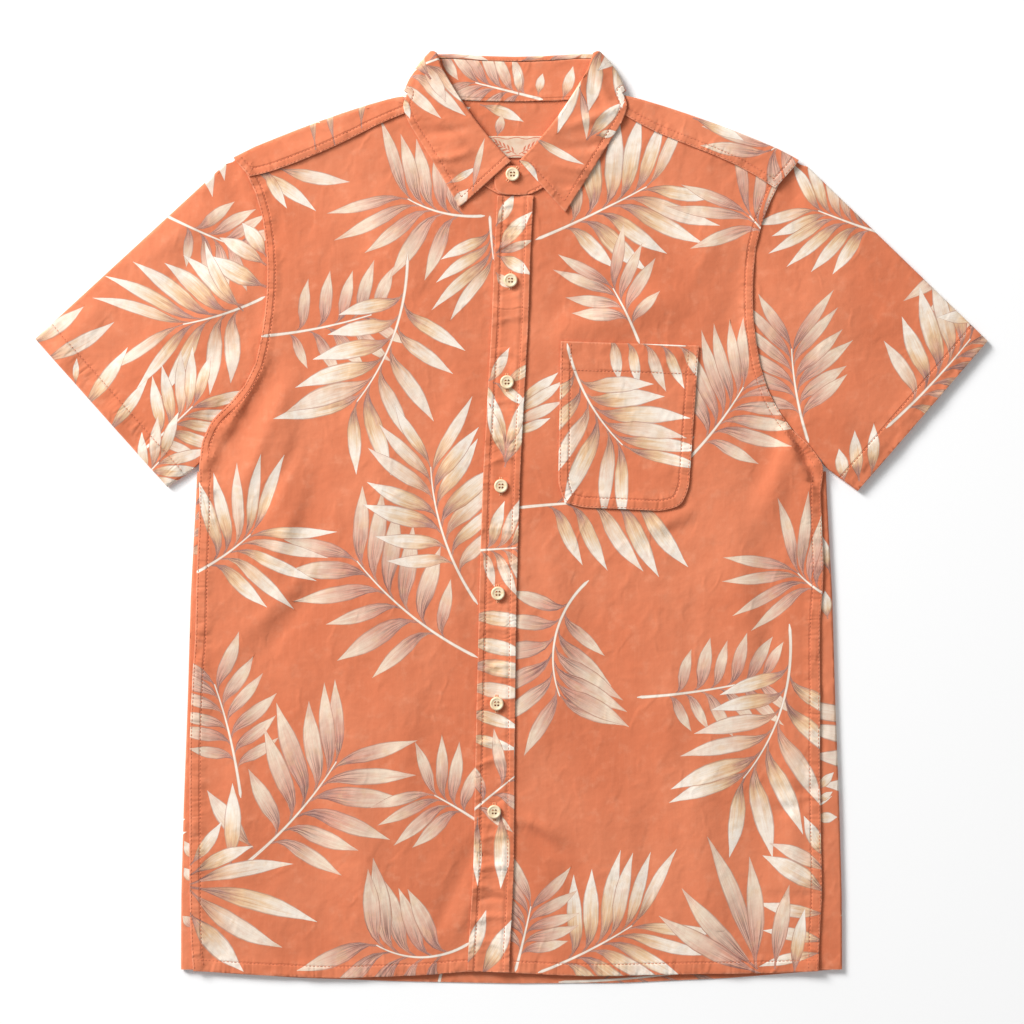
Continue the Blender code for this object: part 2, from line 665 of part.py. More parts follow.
def leaf_half(side, beneath):
    """Sections of one half of the leaf, from the front edge to the middle of the back."""
    front, fold, back = collar_half(side)
    sections = []
    for row in spread(front, 2):
        neck, roll, edge = flat_points(row)
        rise = row[6]
        section = leaf_section(neck, roll, edge, rise, rise + ROLL)
        for share, point in zip(FALL, fall_points(section, edge)):
            lain = beneath.drape(point.x, point.y, 5.0) + STEP
            point.z = max(lain, (rise + ROLL) * (1 - share) ** 1.4)
            section.append(point)
        crest = section[FOLD_STEPS + 1]
        crest.z = max(crest.z, beneath.drape(crest.x, crest.y, 3.0) + STEP)
        sections.append(section)
    last = sections[-1]
    neck, roll, edge = fold
    flat = leaf_section(neck, roll, edge, SIDE_WRAP, 0.0)
    flat += fall_points(flat, edge)
    out = outward([roll, edge], 0, Vector((SIDES[side], FOLD_TILT, 0)))
    widest = last[FOLD_STEPS + 1].z / 2
    bends = []
    for index, point in enumerate(flat):
        radius = (last[index].z - point.z) / 2
        on_leaf = index > FOLD_STEPS
        inset = 0.0 if on_leaf else max(0.0, widest - radius)
        place = Vector((point.x, point.y, 0))
        if on_leaf:
            share = (place - roll).length / (edge - roll).length
            place += out * FOLD_BULGE * math.sin(math.pi * min(1.0, share))
        bends.append(folded(last[index].z, point.z, place, out, inset))
    for step in range(FOLD_STEPS + 1):
        sections.append([bend[step] for bend in bends])
    for row in spread(back, 2):
        neck, roll, edge = flat_points(row)
        section = leaf_section(neck, roll, edge, SIDE_WRAP, 0.0)
        section += fall_points(section, edge)
        sections.append(section)
    return sections


def stand_height(share, neck_z, top_z):
    """Level along the neck seam, then up to the top of the stand."""
    seam_share = STAND_SHARES[1]
    return neck_z + (top_z - neck_z) * ease((share - seam_share) / (1 - seam_share))


def stand_section(neck, roll, neck_z, top_z, beneath=None):
    top = roll + (neck - roll).normalized() * (STRIP + GAP)
    found = []
    for share in STAND_SHARES:
        point = neck.lerp(top, share)
        height = stand_height(share, neck_z, top_z)
        if beneath:
            height = max(height, beneath.drape(point.x, point.y, 2.0) + STEP)
        point.z = height
        found.append(point)
    return found


def stand_half(side, beneath):
    """Sections of one half of the stand, from its front edge to the middle of the back."""
    front, fold, back = collar_half(side)
    sections = []
    for row in spread(front, 2):
        neck, roll, _ = flat_points(row)
        neck_z = beneath.drape(neck.x, neck.y, 2.0) + STEP
        sections.append(stand_section(neck, roll, neck_z, row[6] + WALL, beneath))
    last = sections[-1]
    neck, roll, edge = fold
    flat = stand_section(neck, roll, NECK_INSIDE, 2 * STEP)
    out = outward([roll, edge], 0, Vector((SIDES[side], FOLD_TILT, 0)))
    widest = (COLLAR[-1][6] + ROLL) / 2
    bends = []
    for share, point, ahead in zip(STAND_SHARES, flat, last):
        radius = (ahead.z - point.z) / 2
        place = Vector((point.x, point.y, 0))
        bends.append(folded(ahead.z, point.z, place, out, share * (widest - radius)))
    for step in range(FOLD_STEPS + 1):
        sections.append([bend[step] for bend in bends])
    for row in spread(back, 2):
        neck, roll, _ = flat_points(row)
        sections.append(stand_section(neck, roll, NECK_INSIDE, 2 * STEP))
    return sections


def stand_end(rows, neck_z, top_z):
    """Sections past a half's front edge, where the two ends of the stand cross."""
    found = []
    for x0, y0, x1, y1 in rows:
        section = []
        for share in STAND_SHARES:
            point = Vector((x0, y0, 0)).lerp(Vector((x1, y1, 0)), share)
            point.z = stand_height(share, neck_z, top_z)
            section.append(point)
        found.append(section)
    return found


def leaf_rows(beneath):
    right, left = leaf_half("right", beneath), leaf_half("left", beneath)
    return [*right, *reversed(left[:-1])]


def stand_rows(beneath):
    right, left = stand_half("right", beneath), stand_half("left", beneath)
    low = stand_end(STAND_LOW_END, right[0][0].z, right[0][-1].z)
    high = stand_end(STAND_HIGH_END, left[0][0].z, left[0][-1].z)
    return [*reversed(low), *right, *reversed(left[:-1]), *high]


# --- Small pieces


def button(name, x, y, base, parts, cutters):
    """A turned four-hole button that lies with its back just above base."""
    shape = bmesh.new()
    points = [shape.verts.new((radius * MM, 0, height * MM)) for radius, height in BUTTON_PROFILE]
    for a, b in zip(points, points[1:]):
        shape.edges.new((a, b))
    mesh = bpy.data.meshes.new(name)
    shape.to_mesh(mesh)
    shape.free()
    mesh.materials.append(finish("button_resin"))
    piece = bpy.data.objects.new(name, mesh)
    parts.objects.link(piece)
    piece.location = (x * MM, y * MM, base * MM)
    turning = piece.modifiers.new("turned", "SCREW")
    turning.steps = turning.render_steps = BUTTON_SIDES
    turning.use_merge_vertices = True
    turning.merge_threshold = MERGE
    turning.use_smooth_shade = False
    drill = bmesh.new()
    for dx in (-0.5, 0.5):
        for dy in (-0.5, 0.5):
            made = bmesh.ops.create_cone(drill, cap_ends=True, segments=8, radius1=HOLE_RADIUS * MM,
                                         radius2=HOLE_RADIUS * MM, depth=DRILL_LENGTH * MM)
            bmesh.ops.translate(drill, verts=made["verts"],
                                vec=(dx * HOLE_SPACING * MM, dy * HOLE_SPACING * MM, 0))
    drill_mesh = bpy.data.meshes.new(name + "_holes")
    drill.to_mesh(drill_mesh)
    drill.free()
    cutter = bpy.data.objects.new(name + "_holes", drill_mesh)
    cutters.objects.link(cutter)
    cutter.parent = piece
    cutter.hide_render = True
    cutter.display_type = "WIRE"
    holes = piece.modifiers.new("holes", "BOOLEAN")
    holes.operation = "DIFFERENCE"
    holes.solver = "EXACT"
    holes.object = cutter
    return piece


def label_rows():
    top = 2 * STEP + WALL
    low, high = LABEL_LOW, LABEL_HIGH
    return [[Vector((x, y, top)) for x in (low[0], high[0])] for y in (low[1], high[1])]


def main():
    clear_scene()
    parts, cutters = collection(NAME), collection("cutters")
    rows, keep = back_rows()
    cloth("back", rows, parts, face_down=True, keep=keep)
    for side in SIDES:
        cloth("sleeve_" + side, sleeve_rows(side), parts, ring=True)
    fronts = {side: front_rows(side) for side in SIDES}
    for side, rows in fronts.items():
        cloth("front_" + side, rows, parts)
    rows, keep, under, flaps = yoke_rows()
    cloth("yoke", rows, parts, face_down=True, keep=keep)
    cloth("yoke_inner", inner_yoke_rows(Beneath(under)), parts, face_down=True)
    cloth("neck_label", label_rows(), parts, finish_name="plain_label")
    placket = placket_rows(Beneath(*fronts.values()))
    cloth("placket", placket, parts)
    pocket = pocket_rows(Beneath(fronts["left"]))
    cloth("pocket", pocket, parts)
    stand = stand_rows(Beneath(*fronts.values(), *flaps))
    cloth("collar_stand", stand, parts)
    leaf = leaf_rows(Beneath(*fronts.values(), *flaps, placket, stand))
    cloth("collar_leaf", leaf, parts, face_down=True)
    seat = Beneath(placket, stand)
    for name, x, y in BUTTONS:
        button(name, x, y, seat.highest(x, y, BUTTON_REACH) + GAP, parts, cutters)


main()
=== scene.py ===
"""A short-sleeved cotton shirt printed with palm fronds, buttoned up and laid flat on its back.

Lengths in the tables are in millimetres. Each piece of cloth is a thin shell laid on one side of its solid.
It is cut from its own flat pattern, and the fronds are cut into that pattern, so the print follows the cloth.
"""

import math
import random

import bmesh
import bpy
import numpy as np
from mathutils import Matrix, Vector, noise
from mathutils.bvhtree import BVHTree
from mathutils.geometry import barycentric_transform, delaunay_2d_cdt


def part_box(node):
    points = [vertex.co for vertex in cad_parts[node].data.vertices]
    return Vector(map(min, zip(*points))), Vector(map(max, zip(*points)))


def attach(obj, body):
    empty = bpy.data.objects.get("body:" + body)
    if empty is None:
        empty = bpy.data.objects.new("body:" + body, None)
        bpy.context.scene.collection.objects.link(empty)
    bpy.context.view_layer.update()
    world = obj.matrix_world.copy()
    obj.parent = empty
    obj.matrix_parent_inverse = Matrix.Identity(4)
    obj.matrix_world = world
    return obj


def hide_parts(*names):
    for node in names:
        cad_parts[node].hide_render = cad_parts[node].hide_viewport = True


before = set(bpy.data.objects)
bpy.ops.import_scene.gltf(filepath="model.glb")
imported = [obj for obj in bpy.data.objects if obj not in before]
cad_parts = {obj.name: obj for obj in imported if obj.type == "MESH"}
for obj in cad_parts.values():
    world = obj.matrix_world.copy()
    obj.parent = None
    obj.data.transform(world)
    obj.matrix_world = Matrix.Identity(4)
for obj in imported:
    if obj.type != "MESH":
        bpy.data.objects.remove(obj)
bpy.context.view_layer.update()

MM = 0.001
# Points nearer than this, in metres, are one point
WELD = 1e-6
CLOTH = 0.5
# How far apart the points of a piece's mesh are
GRID = 4.2
GRIDS = {"back": 8.0, "front_right": 3.6, "front_left": 3.6, "placket": 1.9, "pocket": 3.0,
         "collar_leaf": 2.8, "collar_stand": 3.0}
# Where faces turn by more than this a side of the cloth ends, and where by more than the next it is folded
SHARP_TURN = math.radians(62)
FOLD_TURN = math.radians(15)
# Corners of a pattern that turn by less than this are eased, in so many rounds
SHARP_CORNER = math.radians(50)
EASING = 4
# Rounds of smoothing of the heights, and how level the cloth is where they apply
SMOOTHING = 14
SMOOTH_FACING = 0.97
# How level the face is that a side is found from, and the part that its pattern is lined up by
FIRST_FACING = 0.9
MAIN_FACING = 0.95
SIGNS = {"up": 1, "down": -1}

# --- Cloth: the pieces, their seams and their creases

# Piece: which way its right side faces and, if its pattern is unrolled, which way the part faces that the
# pattern is laid on and above which y that part lies
PIECES = {
    "back": ("down", "down", -400.0),
    "yoke": ("down", "down", 0.0),
    "yoke_inner": ("up", None, 0.0),
    "front_right": ("up", None, 0.0),
    "front_left": ("up", None, 0.0),
    "placket": ("up", None, 0.0),
    "pocket": ("up", None, 0.0),
    "sleeve_right": ("up", "up", 0.0),
    "sleeve_left": ("up", "up", 0.0),
    "collar_stand": ("up", "down", 342.0),
    "collar_leaf": ("up", "down", 338.0),
    "neck_label": ("up", None, 0.0),
}
# A sleeve is cut open where it is folded under the arm: below this y, at half its height
UNDERARM_Y = 100.0
MID_SLEEVE = 1.9
ON_FOLD = 1e-3
# Heights that a point of the pattern is looked for from
HIGH_ABOVE, JUST_ABOVE = 100.0, 5.0


def right_side(node, way):
    """One side of a cloth node as an open sheet in millimetres: all faces that turn gently into the next."""
    shape = bmesh.new()
    shape.from_mesh(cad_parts[node].data)
    bmesh.ops.remove_doubles(shape, verts=shape.verts, dist=WELD)
    bmesh.ops.scale(shape, vec=(1 / MM, 1 / MM, 1 / MM), verts=shape.verts)
    shape.normal_update()
    level = [face for face in shape.faces if face.normal.z * SIGNS[way] > FIRST_FACING]
    first = max(level, key=lambda face: face.calc_center_median().z * SIGNS[way])
    found, fresh = {first}, [first]
    while fresh:
        face = fresh.pop()
        for other in (near for side in face.edges for near in side.link_faces):
            if other not in found and face.normal.angle(other.normal, math.pi) < SHARP_TURN:
                found.add(other)
                fresh.append(other)
    bmesh.ops.delete(shape, geom=[face for face in shape.faces if face not in found], context="FACES")
    return shape


def link(piece):
    bpy.context.scene.collection.objects.link(piece)
    return piece


def object_of(name, shape):
    """A piece in the scene made of a shape, which stays."""
    mesh = bpy.data.meshes.new(name)
    shape.to_mesh(mesh)
    return link(bpy.data.objects.new(name, mesh))


def open_tube(shape):
    """Cuts a sleeve along the fold under the arm."""
    geometry = [*shape.verts, *shape.edges, *shape.faces]
    bmesh.ops.bisect_plane(shape, geom=geometry, plane_co=(0, 0, MID_SLEEVE), plane_no=(0, 0, 1), dist=1e-4)
    cut = [edge for edge in shape.edges
           if all(abs(vert.co.z - MID_SLEEVE) < ON_FOLD and vert.co.y < UNDERARM_Y for vert in edge.verts)]
    bmesh.ops.split_edges(shape, edges=cut)
    bmesh.ops.triangulate(shape, faces=shape.faces)


def unroll(shape, way, above_y):
    """Flat places of the sheet's points, turned so that its main side lies as it does on the shirt."""
    piece = object_of("pattern", shape)
    mesh = piece.data
    bpy.context.view_layer.objects.active = piece
    bpy.ops.object.mode_set(mode="EDIT")
    bpy.ops.mesh.select_all(action="SELECT")
    bpy.ops.uv.unwrap(method="CONFORMAL", margin=0.0)
    bpy.ops.object.mode_set(mode="OBJECT")
    flat = np.zeros(len(mesh.vertices), complex)
    for loop, place in zip(mesh.loops, mesh.uv_layers.active.uv):
        flat[loop.vertex_index] = complex(*place.vector)
    main = [vert.index for vert in mesh.vertices
            if vert.normal.z * SIGNS[way] > MAIN_FACING and vert.co.y > above_y]
    goal = np.array([complex(vert.co.x, vert.co.y) for vert in mesh.vertices])
    area = sum(face.area for face in mesh.polygons)
    flat_area = sum(abs(turned_area([flat[index] for index in face.vertices])) for face in mesh.polygons)
    flat = flat * math.sqrt(area / flat_area)
    fits = []
    for turned in (flat, flat.conj()):
        centre, goal_centre = turned[main].mean(), goal[main].mean()
        turn = ((goal[main] - goal_centre) * (turned[main] - centre).conj()).sum()
        found = (turned - centre) * turn / abs(turn) + goal_centre
        fits.append((np.abs(found[main] - goal[main]).mean(), found))
    bpy.data.objects.remove(piece)
    bpy.data.meshes.remove(mesh)
    best = min(fits, key=lambda fit: fit[0])[1]
    return np.column_stack([best.real, best.imag])


def turned_area(points):
    """The area of a flat outline of complex points, below 0 if they run clockwise."""
    return 0.5 * sum((a.conjugate() * b).imag for a, b in zip(points, [*points[1:], points[0]]))


def corners_of(face, flat, laid):
    """A triangle's corners in the flat pattern, and where those are laid."""
    return [Vector((*flat[corner], 0)) for corner in face], [Vector(laid[corner]) for corner in face]


class Sheet:
    """The right side of one piece of cloth: its flat pattern, and where each point of that lies."""

    def __init__(self, name):
        self.name = name
        self.way, laid_way, above_y = PIECES[name]
        shape = right_side(name, self.way)
        if name.startswith("sleeve"):
            open_tube(shape)
        shape.verts.index_update()
        shape.verts.ensure_lookup_table()
        self.place = np.array([vert.co[:] for vert in shape.verts])
        self.flat = unroll(shape, laid_way, above_y) if laid_way else self.place[:, :2].copy()
        self.faces = [[vert.index for vert in face.verts] for face in shape.faces]
        self.tree = BVHTree.FromPolygons([(x, y, 0) for x, y in self.flat], self.faces)
        self.laid_tree = BVHTree.FromPolygons(self.place.tolist(), self.faces)
        self.loop = self.chain([edge for edge in shape.edges if edge.is_boundary])
        self.bends = [[vert.index for vert in edge.verts] for edge in shape.edges
                      if len(edge.link_faces) == 2 and edge.calc_face_angle(0) > FOLD_TURN]
        face = max(shape.faces, key=lambda one: one.calc_area())
        a, b, c = (self.flat[vert.index] for vert in face.verts[:3])
        self.turned = np.cross(b - a, c - a) < 0
        shape.free()

    def chain(self, edges):
        """The longest closed line of boundary points, by index."""
        ways = {}
        for edge in edges:
            a, b = edge.verts
            ways.setdefault(a.index, []).append(b.index)
            ways.setdefault(b.index, []).append(a.index)
        loops = []
        while ways:
            loop, here = [], next(iter(ways))
            while here is not None:
                loop.append(here)
                here = next((other for other in ways[here] if other not in loop and other in ways), None)
            for index in loop:
                ways.pop(index)
            loops.append(loop)
        loop = max(loops, key=len)
        points = self.flat[loop]
        area = np.cross(points, np.roll(points, -1, axis=0)).sum()
        return loop if area > 0 else loop[::-1]

    def pattern_at(self, x, y):
        """The point of the pattern that is seen from above at x, y, or the nearest one."""
        near, _, face, _ = self.laid_tree.ray_cast((x, y, HIGH_ABOVE), (0, 0, -1))
        if face is None:
            near, _, face, _ = self.laid_tree.find_nearest((x, y, JUST_ABOVE))
        flat, laid = corners_of(self.faces[face], self.flat, self.place)
        found = barycentric_transform(near, *laid, *flat)
        beyond = Vector((x - near.x, y - near.y))
        return (found.x + beyond.x, found.y + beyond.y)

    def faces_up(self, x, y):
        """Whether the right side faces up at a point of the pattern."""
        _, _, face, _ = self.tree.find_nearest((x, y, 0))
        a, b, c = (self.place[corner] for corner in self.faces[face][:3])
        return np.cross(b - a, c - a)[2] > 0

    def at(self, points):
        """Places on the laid shirt for points of the pattern."""
        found = np.zeros((len(points), 3))
        for index, (x, y) in enumerate(points):
            near, _, face, _ = self.tree.find_nearest((x, y, 0))
            flat, laid = corners_of(self.faces[face], self.flat, self.place)
            found[index] = barycentric_transform(near, *flat, *laid)
        return found


def rounded(border):
    """A closed line whose gentle corners are eased into curves, while its sharp ones stay."""
    points = np.array(border)
    ways = np.roll(points, -1, axis=0) - points
    headings = np.arctan2(ways[:, 1], ways[:, 0])
    turns = np.abs(np.angle(np.exp(1j * (headings - np.roll(headings, 1)))))
    free = (turns < SHARP_CORNER)[:, None]
    for _ in range(EASING):
        eased = (np.roll(points, 1, axis=0) + 2 * points + np.roll(points, -1, axis=0)) / 4
        points = np.where(free, eased, points)
    return [tuple(point) for point in points]


def between(points, most, closed=False):
    """The points of a line with more between them, so that none are further apart than most."""
    found = []
    ends = [*points, points[0]] if closed else points
    for a, b in zip(ends, ends[1:]):
        count = max(1, math.ceil(math.dist(a, b) / most))
        for step in range(count):
            found.append(tuple(a[i] + (b[i] - a[i]) * step / count for i in range(len(a))))
    if not closed:
        found.append(tuple(points[-1]))
    return found


# --- Print: palm fronds

# Kinds of blades; the ground between them is 0
PALE, DUSKY, STEM = 1.0, 2.0, 3.0
# Fronds on each piece as seen from above: foot x, y, end of the stem x, y, bend of the stem in degrees,
# pairs of leaflets, longest leaflet, angle of the leaflets from the stem at its foot and at its end, colours
FRONDS = {
    "front_right": (
        (-208, 150, -116, 168, 12, 5, 46, 62, 40, DUSKY),
        (-22, 250, -86, 264, -36, 5, 66, 62, 30, DUSKY),
        (-18, 250, -15, 214, 4, 4, 60, 58, 30, PALE),
        (-86, 218, -128, 96, -38, 6, 70, 58, 26, PALE),
        (-28, -116, -128, -36, -26, 6, 68, 56, 26, DUSKY),
        (-28, -72, -67, 42, -32, 7, 68, 58, 24, PALE),
        (-262, -46, -216, -14, 14, 5, 74, 60, 22, PALE),
        (-224, -232, -246, -138, 12, 6, 48, 58, 30, DUSKY),
        (-222, -288, -145, -202, 20, 6, 76, 56, 24, DUSKY),
        (-34, -352, -112, -354, -64, 5, 72, 66, 40, DUSKY),
        (-26, -253, -64, -230, 6, 4, 52, 60, 30, DUSKY),
    ),
    "front_left": (
        (20, 230, 112, 274, 6, 6, 70, 58, 26, PALE),
        (218, 226, 197, 250, 0, 3, 70, 52, 16, DUSKY),
        (106, 144, 84, 190, 8, 4, 50, 50, 22, DUSKY),
        (146, 48, 192, 108, 14, 6, 68, 58, 26, DUSKY),
        (4, 8, 108, 14, -6, 5, 70, 60, 44, PALE),
        (0, 52, 6, 96, 0, 4, 46, 46, 36, PALE),
        (264, -66, 237, -46, -20, 4, 66, 64, 20, DUSKY),
        (64, -52, 40, -148, 70, 6, 64, 58, 32, DUSKY),
        (104, -149, 206, -134, 10, 6, 44, 60, 38, DUSKY),
        (230, -88, 192, -216, -46, 6, 72, 56, 24, PALE),
        (22, -377, 100, -338, 12, 6, 74, 56, 24, PALE),
        (3, -376, 16, -322, 4, 5, 48, 56, 26, DUSKY),
    ),
    "placket": (
        (-36, 112, -8, 112, 0, 2, 36, 48, 18, PALE),
        (-6, 34, -5, 58, 0, 2, 48, 14, 8, PALE),
        (-40, -28, 4, -25, 0, 4, 44, 62, 36, PALE),
        (-41, -222, -38, -80, 0, 6, 58, 84, 72, PALE),
        (-46, -254, 4, -213, 0, 3, 44, 60, 36, DUSKY),
    ),
    "pocket": (
        (60, 152, 144, 142, 10, 5, 42, 60, 42, PALE),
        (46, 144, 92, 60, 34, 6, 70, 58, 24, PALE),
    ),
    "sleeve_right": (
        (-286, 250, -232, 226, 6, 4, 44, 52, 32, DUSKY),
        (-204, 183, -272, 160, -18, 5, 76, 58, 16, PALE),
        (-308, 54, -264, 92, 10, 5, 52, 50, 20, PALE),
        (-318, 20, -292, 46, 0, 3, 46, 40, 20, PALE),
    ),
    "sleeve_left": (
        (318, 232, 254, 254, -8, 6, 54, 56, 28, PALE),
        (246, 62, 232, 140, -16, 6, 58, 50, 24, DUSKY),
        (310, 74, 380, 148, 10, 6, 70, 56, 32, PALE),
    ),
    "yoke": (
        (219, 272, 215, 304, 10, 3, 58, 58, 36, DUSKY),
    ),
    "collar_stand": (
        (26, 346, -30, 360, 0, 5, 42, 50, 22, DUSKY),
    ),
}
# Leaflets that stand by themselves: foot x, y, tip x, y, bend in degrees, half width and colours
LEAVES = {
    "front_right": (
        (-195, 290, -134, 278, 16, 5.5, PALE),
        (-214, 288, -162, 254, -14, 5.5, PALE),
        (-206, 292, -186, 256, 8, 4.5, PALE),
        (-214, -274, -252, -226, -12, 7.5, PALE),
        (-233, -290, -231, -220, 8, 7.0, PALE),
        (-266, -288, -240, -252, 10, 5.0, PALE),
        (-266, -296, -214, -272, -16, 6.0, PALE),
        (-267, -304, -181, -287, -22, 6.5, PALE),
        (-266, -306, -161, -335, -14, 8.0, PALE),
        (-267, -308, -190, -356, 26, 8.0, PALE),
        (-268, -326, -222, -376, 8, 9.0, PALE),
    ),
    "front_left": (
        (263, -284, 242, -247, -12, 6.0, PALE),
        (262, -294, 214, -270, 18, 6.0, PALE),
        (262, -312, 208, -280, 14, 8.0, PALE),
        (262, -328, 204, -319, -16, 5.5, PALE),
        (262, -352, 208, -342, 12, 5.5, PALE),
        (258, -360, 205, -372, 10, 4.5, PALE),
        (234, -380, 243, -324, -10, 5.5, PALE),
        (218, -374, 230, -304, -8, 6.5, DUSKY),
        (203, -372, 162, -264, 12, 7.0, DUSKY),
        (204, -374, 141, -307, -18, 7.5, DUSKY),
        (206, -378, 122, -330, -12, 8.0, DUSKY),
        (202, -372, 197, -281, 14, 7.0, DUSKY),
    ),
    "placket": (
        (-13, 241, 2, 268, 8, 4.8, PALE),
        (-12, 219, 17, 253, -14, 6.0, PALE),
        (-13, 219, 18, 230, 10, 3.6, DUSKY),
        (-12, 217, 16, 201, -12, 5.6, PALE),
        (-13, 203, 0, 190, 10, 4.2, PALE),
        (-28, -248, -28, -305, 6, 4.2, PALE),
        (-9, -244, -9, -307, -8, 6.8, PALE),
        (-40, -374, -21, -325, 8, 6.0, PALE),
        (-26, -381, 0, -333, 8, 7.0, PALE),
    ),
    "sleeve_right": (
        (-403, 142, -354, 175, 12, 6.0, PALE),
        (-392, 128, -329, 162, 16, 6.0, PALE),
        (-357, 88, -318, 141, 8, 6.0, PALE),
        (-336, 68, -301, 115, 6, 5.0, PALE),
        (-361, 110, -360, 132, -8, 2.6, PALE),
        (-203, 191, -250, 217, -16, 8.0, PALE),
        (-203, 209, -242, 232, 12, 6.5, PALE),
        (-203, 216, -223, 244, 10, 6.5, PALE),
        (-222, 171, -254, 229, -34, 5.0, PALE),
    ),
    "sleeve_left": (
        (398, 180, 344, 196, 12, 6.5, PALE),
        (400, 170, 352, 166, -14, 6.0, PALE),
        (276, 30, 271, 57, 8, 5.5, PALE),
        (288, 30, 284, 72, -8, 5.5, PALE),
        (298, 35, 300, 78, 6, 5.0, PALE),
        (306, 40, 334, 62, 10, 6.0, PALE),
    ),
    "yoke": (
        (-124, 322, -98, 310, 8, 4.0, PALE),
        (-146, 308, -124, 292, 10, 4.0, PALE),
        (-162, 304, -139, 282, -8, 4.0, PALE),
        (152, 336, 192, 312, 8, 5.5, PALE),
    ),
    "yoke_inner": (
        (-26, 342, 10, 328, -14, 4.6, PALE),
        (-12, 316, -8, 334, 10, 4.0, DUSKY),
        (-50, 334, -34, 340, 10, 3.6, PALE),
    ),
    "collar_leaf": (
        (-76, 378, -54, 343, 14, 5.2, PALE),
        (-54, 276, -29, 290, -14, 3.0, PALE),
        (-32, 270, -22, 314, 12, 2.8, DUSKY),
        (-54, 260, -36, 272, -16, 5.0, PALE),
        (56, 356, 62, 312, 18, 3.2, DUSKY),
        (62, 312, 96, 346, 12, 5.2, PALE),
        (70, 316, 88, 320, -10, 3.4, PALE),
        (18, 313, 60, 292, -14, 3.4, PALE),
        (7, 293, 22, 278, 12, 5.0, PALE),
        (-96, 352, -84, 330, 10, 3.4, PALE),
    ),
    "collar_stand": (
        (42, 346, 51, 374, 12, 4.6, PALE),
        (-58, 388, -44, 362, 14, 4.4, DUSKY),
        (22, 350, 26, 368, -10, 3.6, PALE),
        (6, 350, 4, 374, 8, 3.6, PALE),
    ),
    "back": (
        (264, -46, 270, -14, 8, 5.0, PALE),
        (262, -84, 272, -60, 6, 5.0, PALE),
        (253, -240, 277, -230, 0, 1.2, STEM),
        (253, -226, 267, -211, 8, 3.8, PALE),
        (253, -236, 266, -227, 6, 3.0, PALE),
        (251, -249, 273, -248, 0, 4.6, PALE),
        (251, -322, 274, -330, 8, 3.6, DUSKY),
        (-262, -284, -273, -268, 0, 4.6, PALE),
        (-262, -302, -274, -290, 8, 4.6, PALE),
        (-262, -340, -274, -330, 0, 4.2, DUSKY),
    ),
}
# Leaflets on the parts that face the table, in the flat pattern
LEAVES_BELOW = {
    "collar_leaf": (
        (-94, 366, -52, 350, 14, 5.6, PALE),
        (-66, 372, -28, 362, -12, 5.0, DUSKY),
        (-40, 348, 6, 356, 12, 6.0, PALE),
        (8, 372, 44, 352, -14, 5.4, PALE),
        (28, 374, 70, 366, 12, 5.0, DUSKY),
        (62, 348, 94, 368, 14, 5.4, PALE),
    ),
}
# Pieces with parts that face the table or are out of sight, and how far apart fronds are strewn over those.
# Each frond has so many tries to find room. It looks at these shares of its stem's length, which are its
# middle, its end and a spot ahead of that, so that it stays off the upper side
STREWN = {"back": 108.0, "yoke": 90.0, "sleeve_right": 96.0, "sleeve_left": 96.0, "collar_leaf": 90.0,
          "collar_stand": 90.0}
STREWN_TRIES = 12
STREWN_SPOTS = (0.6, 1.0, 1.5)
# Shares of that distance: how far from the listed fronds they start, and how far apart their middles are
STREWN_FROM_LISTED = 0.72
STREWN_APART = 0.95
# Leaflets: steps of their outline, half widths as shares of the widest and where the neck ends, the share of
# its angle that one leaves the stem with, what it opens by more, and by what share of its length
LEAFLET_STEPS = 10
NECK_WIDTH, TIP_WIDTH = 0.13, 0.02
LEAFLET_NECK = 0.05
LEAFLET_LEAVES, LEAFLET_OPENS, LEAFLET_OPEN_BY = 0.36, 0.80, 0.30
# Their half width at most, and what crowding leaves them at least
WIDEST_LEAFLET = 8.2
LEAST_WIDTH = 4.9
# Stems: half width, taper, the foot's share of the width, the bare share of a long and of a short one, and
# the share at which the last leaflet sits
STEM_HALF = 1.55
STEM_TAPER = 0.62
STEM_FOOT = 0.3
BARE_STEM, BARE_SHORT_STEM = 0.24, 0.3
LAST_LEAFLET = 0.99
# An end of a blade that is narrower than this is a point
POINTED = 0.05
# Blades that end further than this off a pattern aren't on it, and cuts nearer together than the next meet
LEAF_MARGIN = 12
CUTS_MEET = 0.03


class Pattern:
    """Points, lines and outlines that a pattern's mesh is cut along."""

    def __init__(self):
        self.points, self.lines, self.outlines = [], [], []

    def numbered(self, points):
        """Adds points, and gives their numbers."""
        start = len(self.points)
        self.points += [Vector((point[0], point[1])) for point in points]
        return list(range(start, len(self.points)))

    def line(self, points):
        numbers = self.numbered(points)
        self.lines += zip(numbers, numbers[1:])

    def outline(self, points):
        self.outlines.append(self.numbered(points))


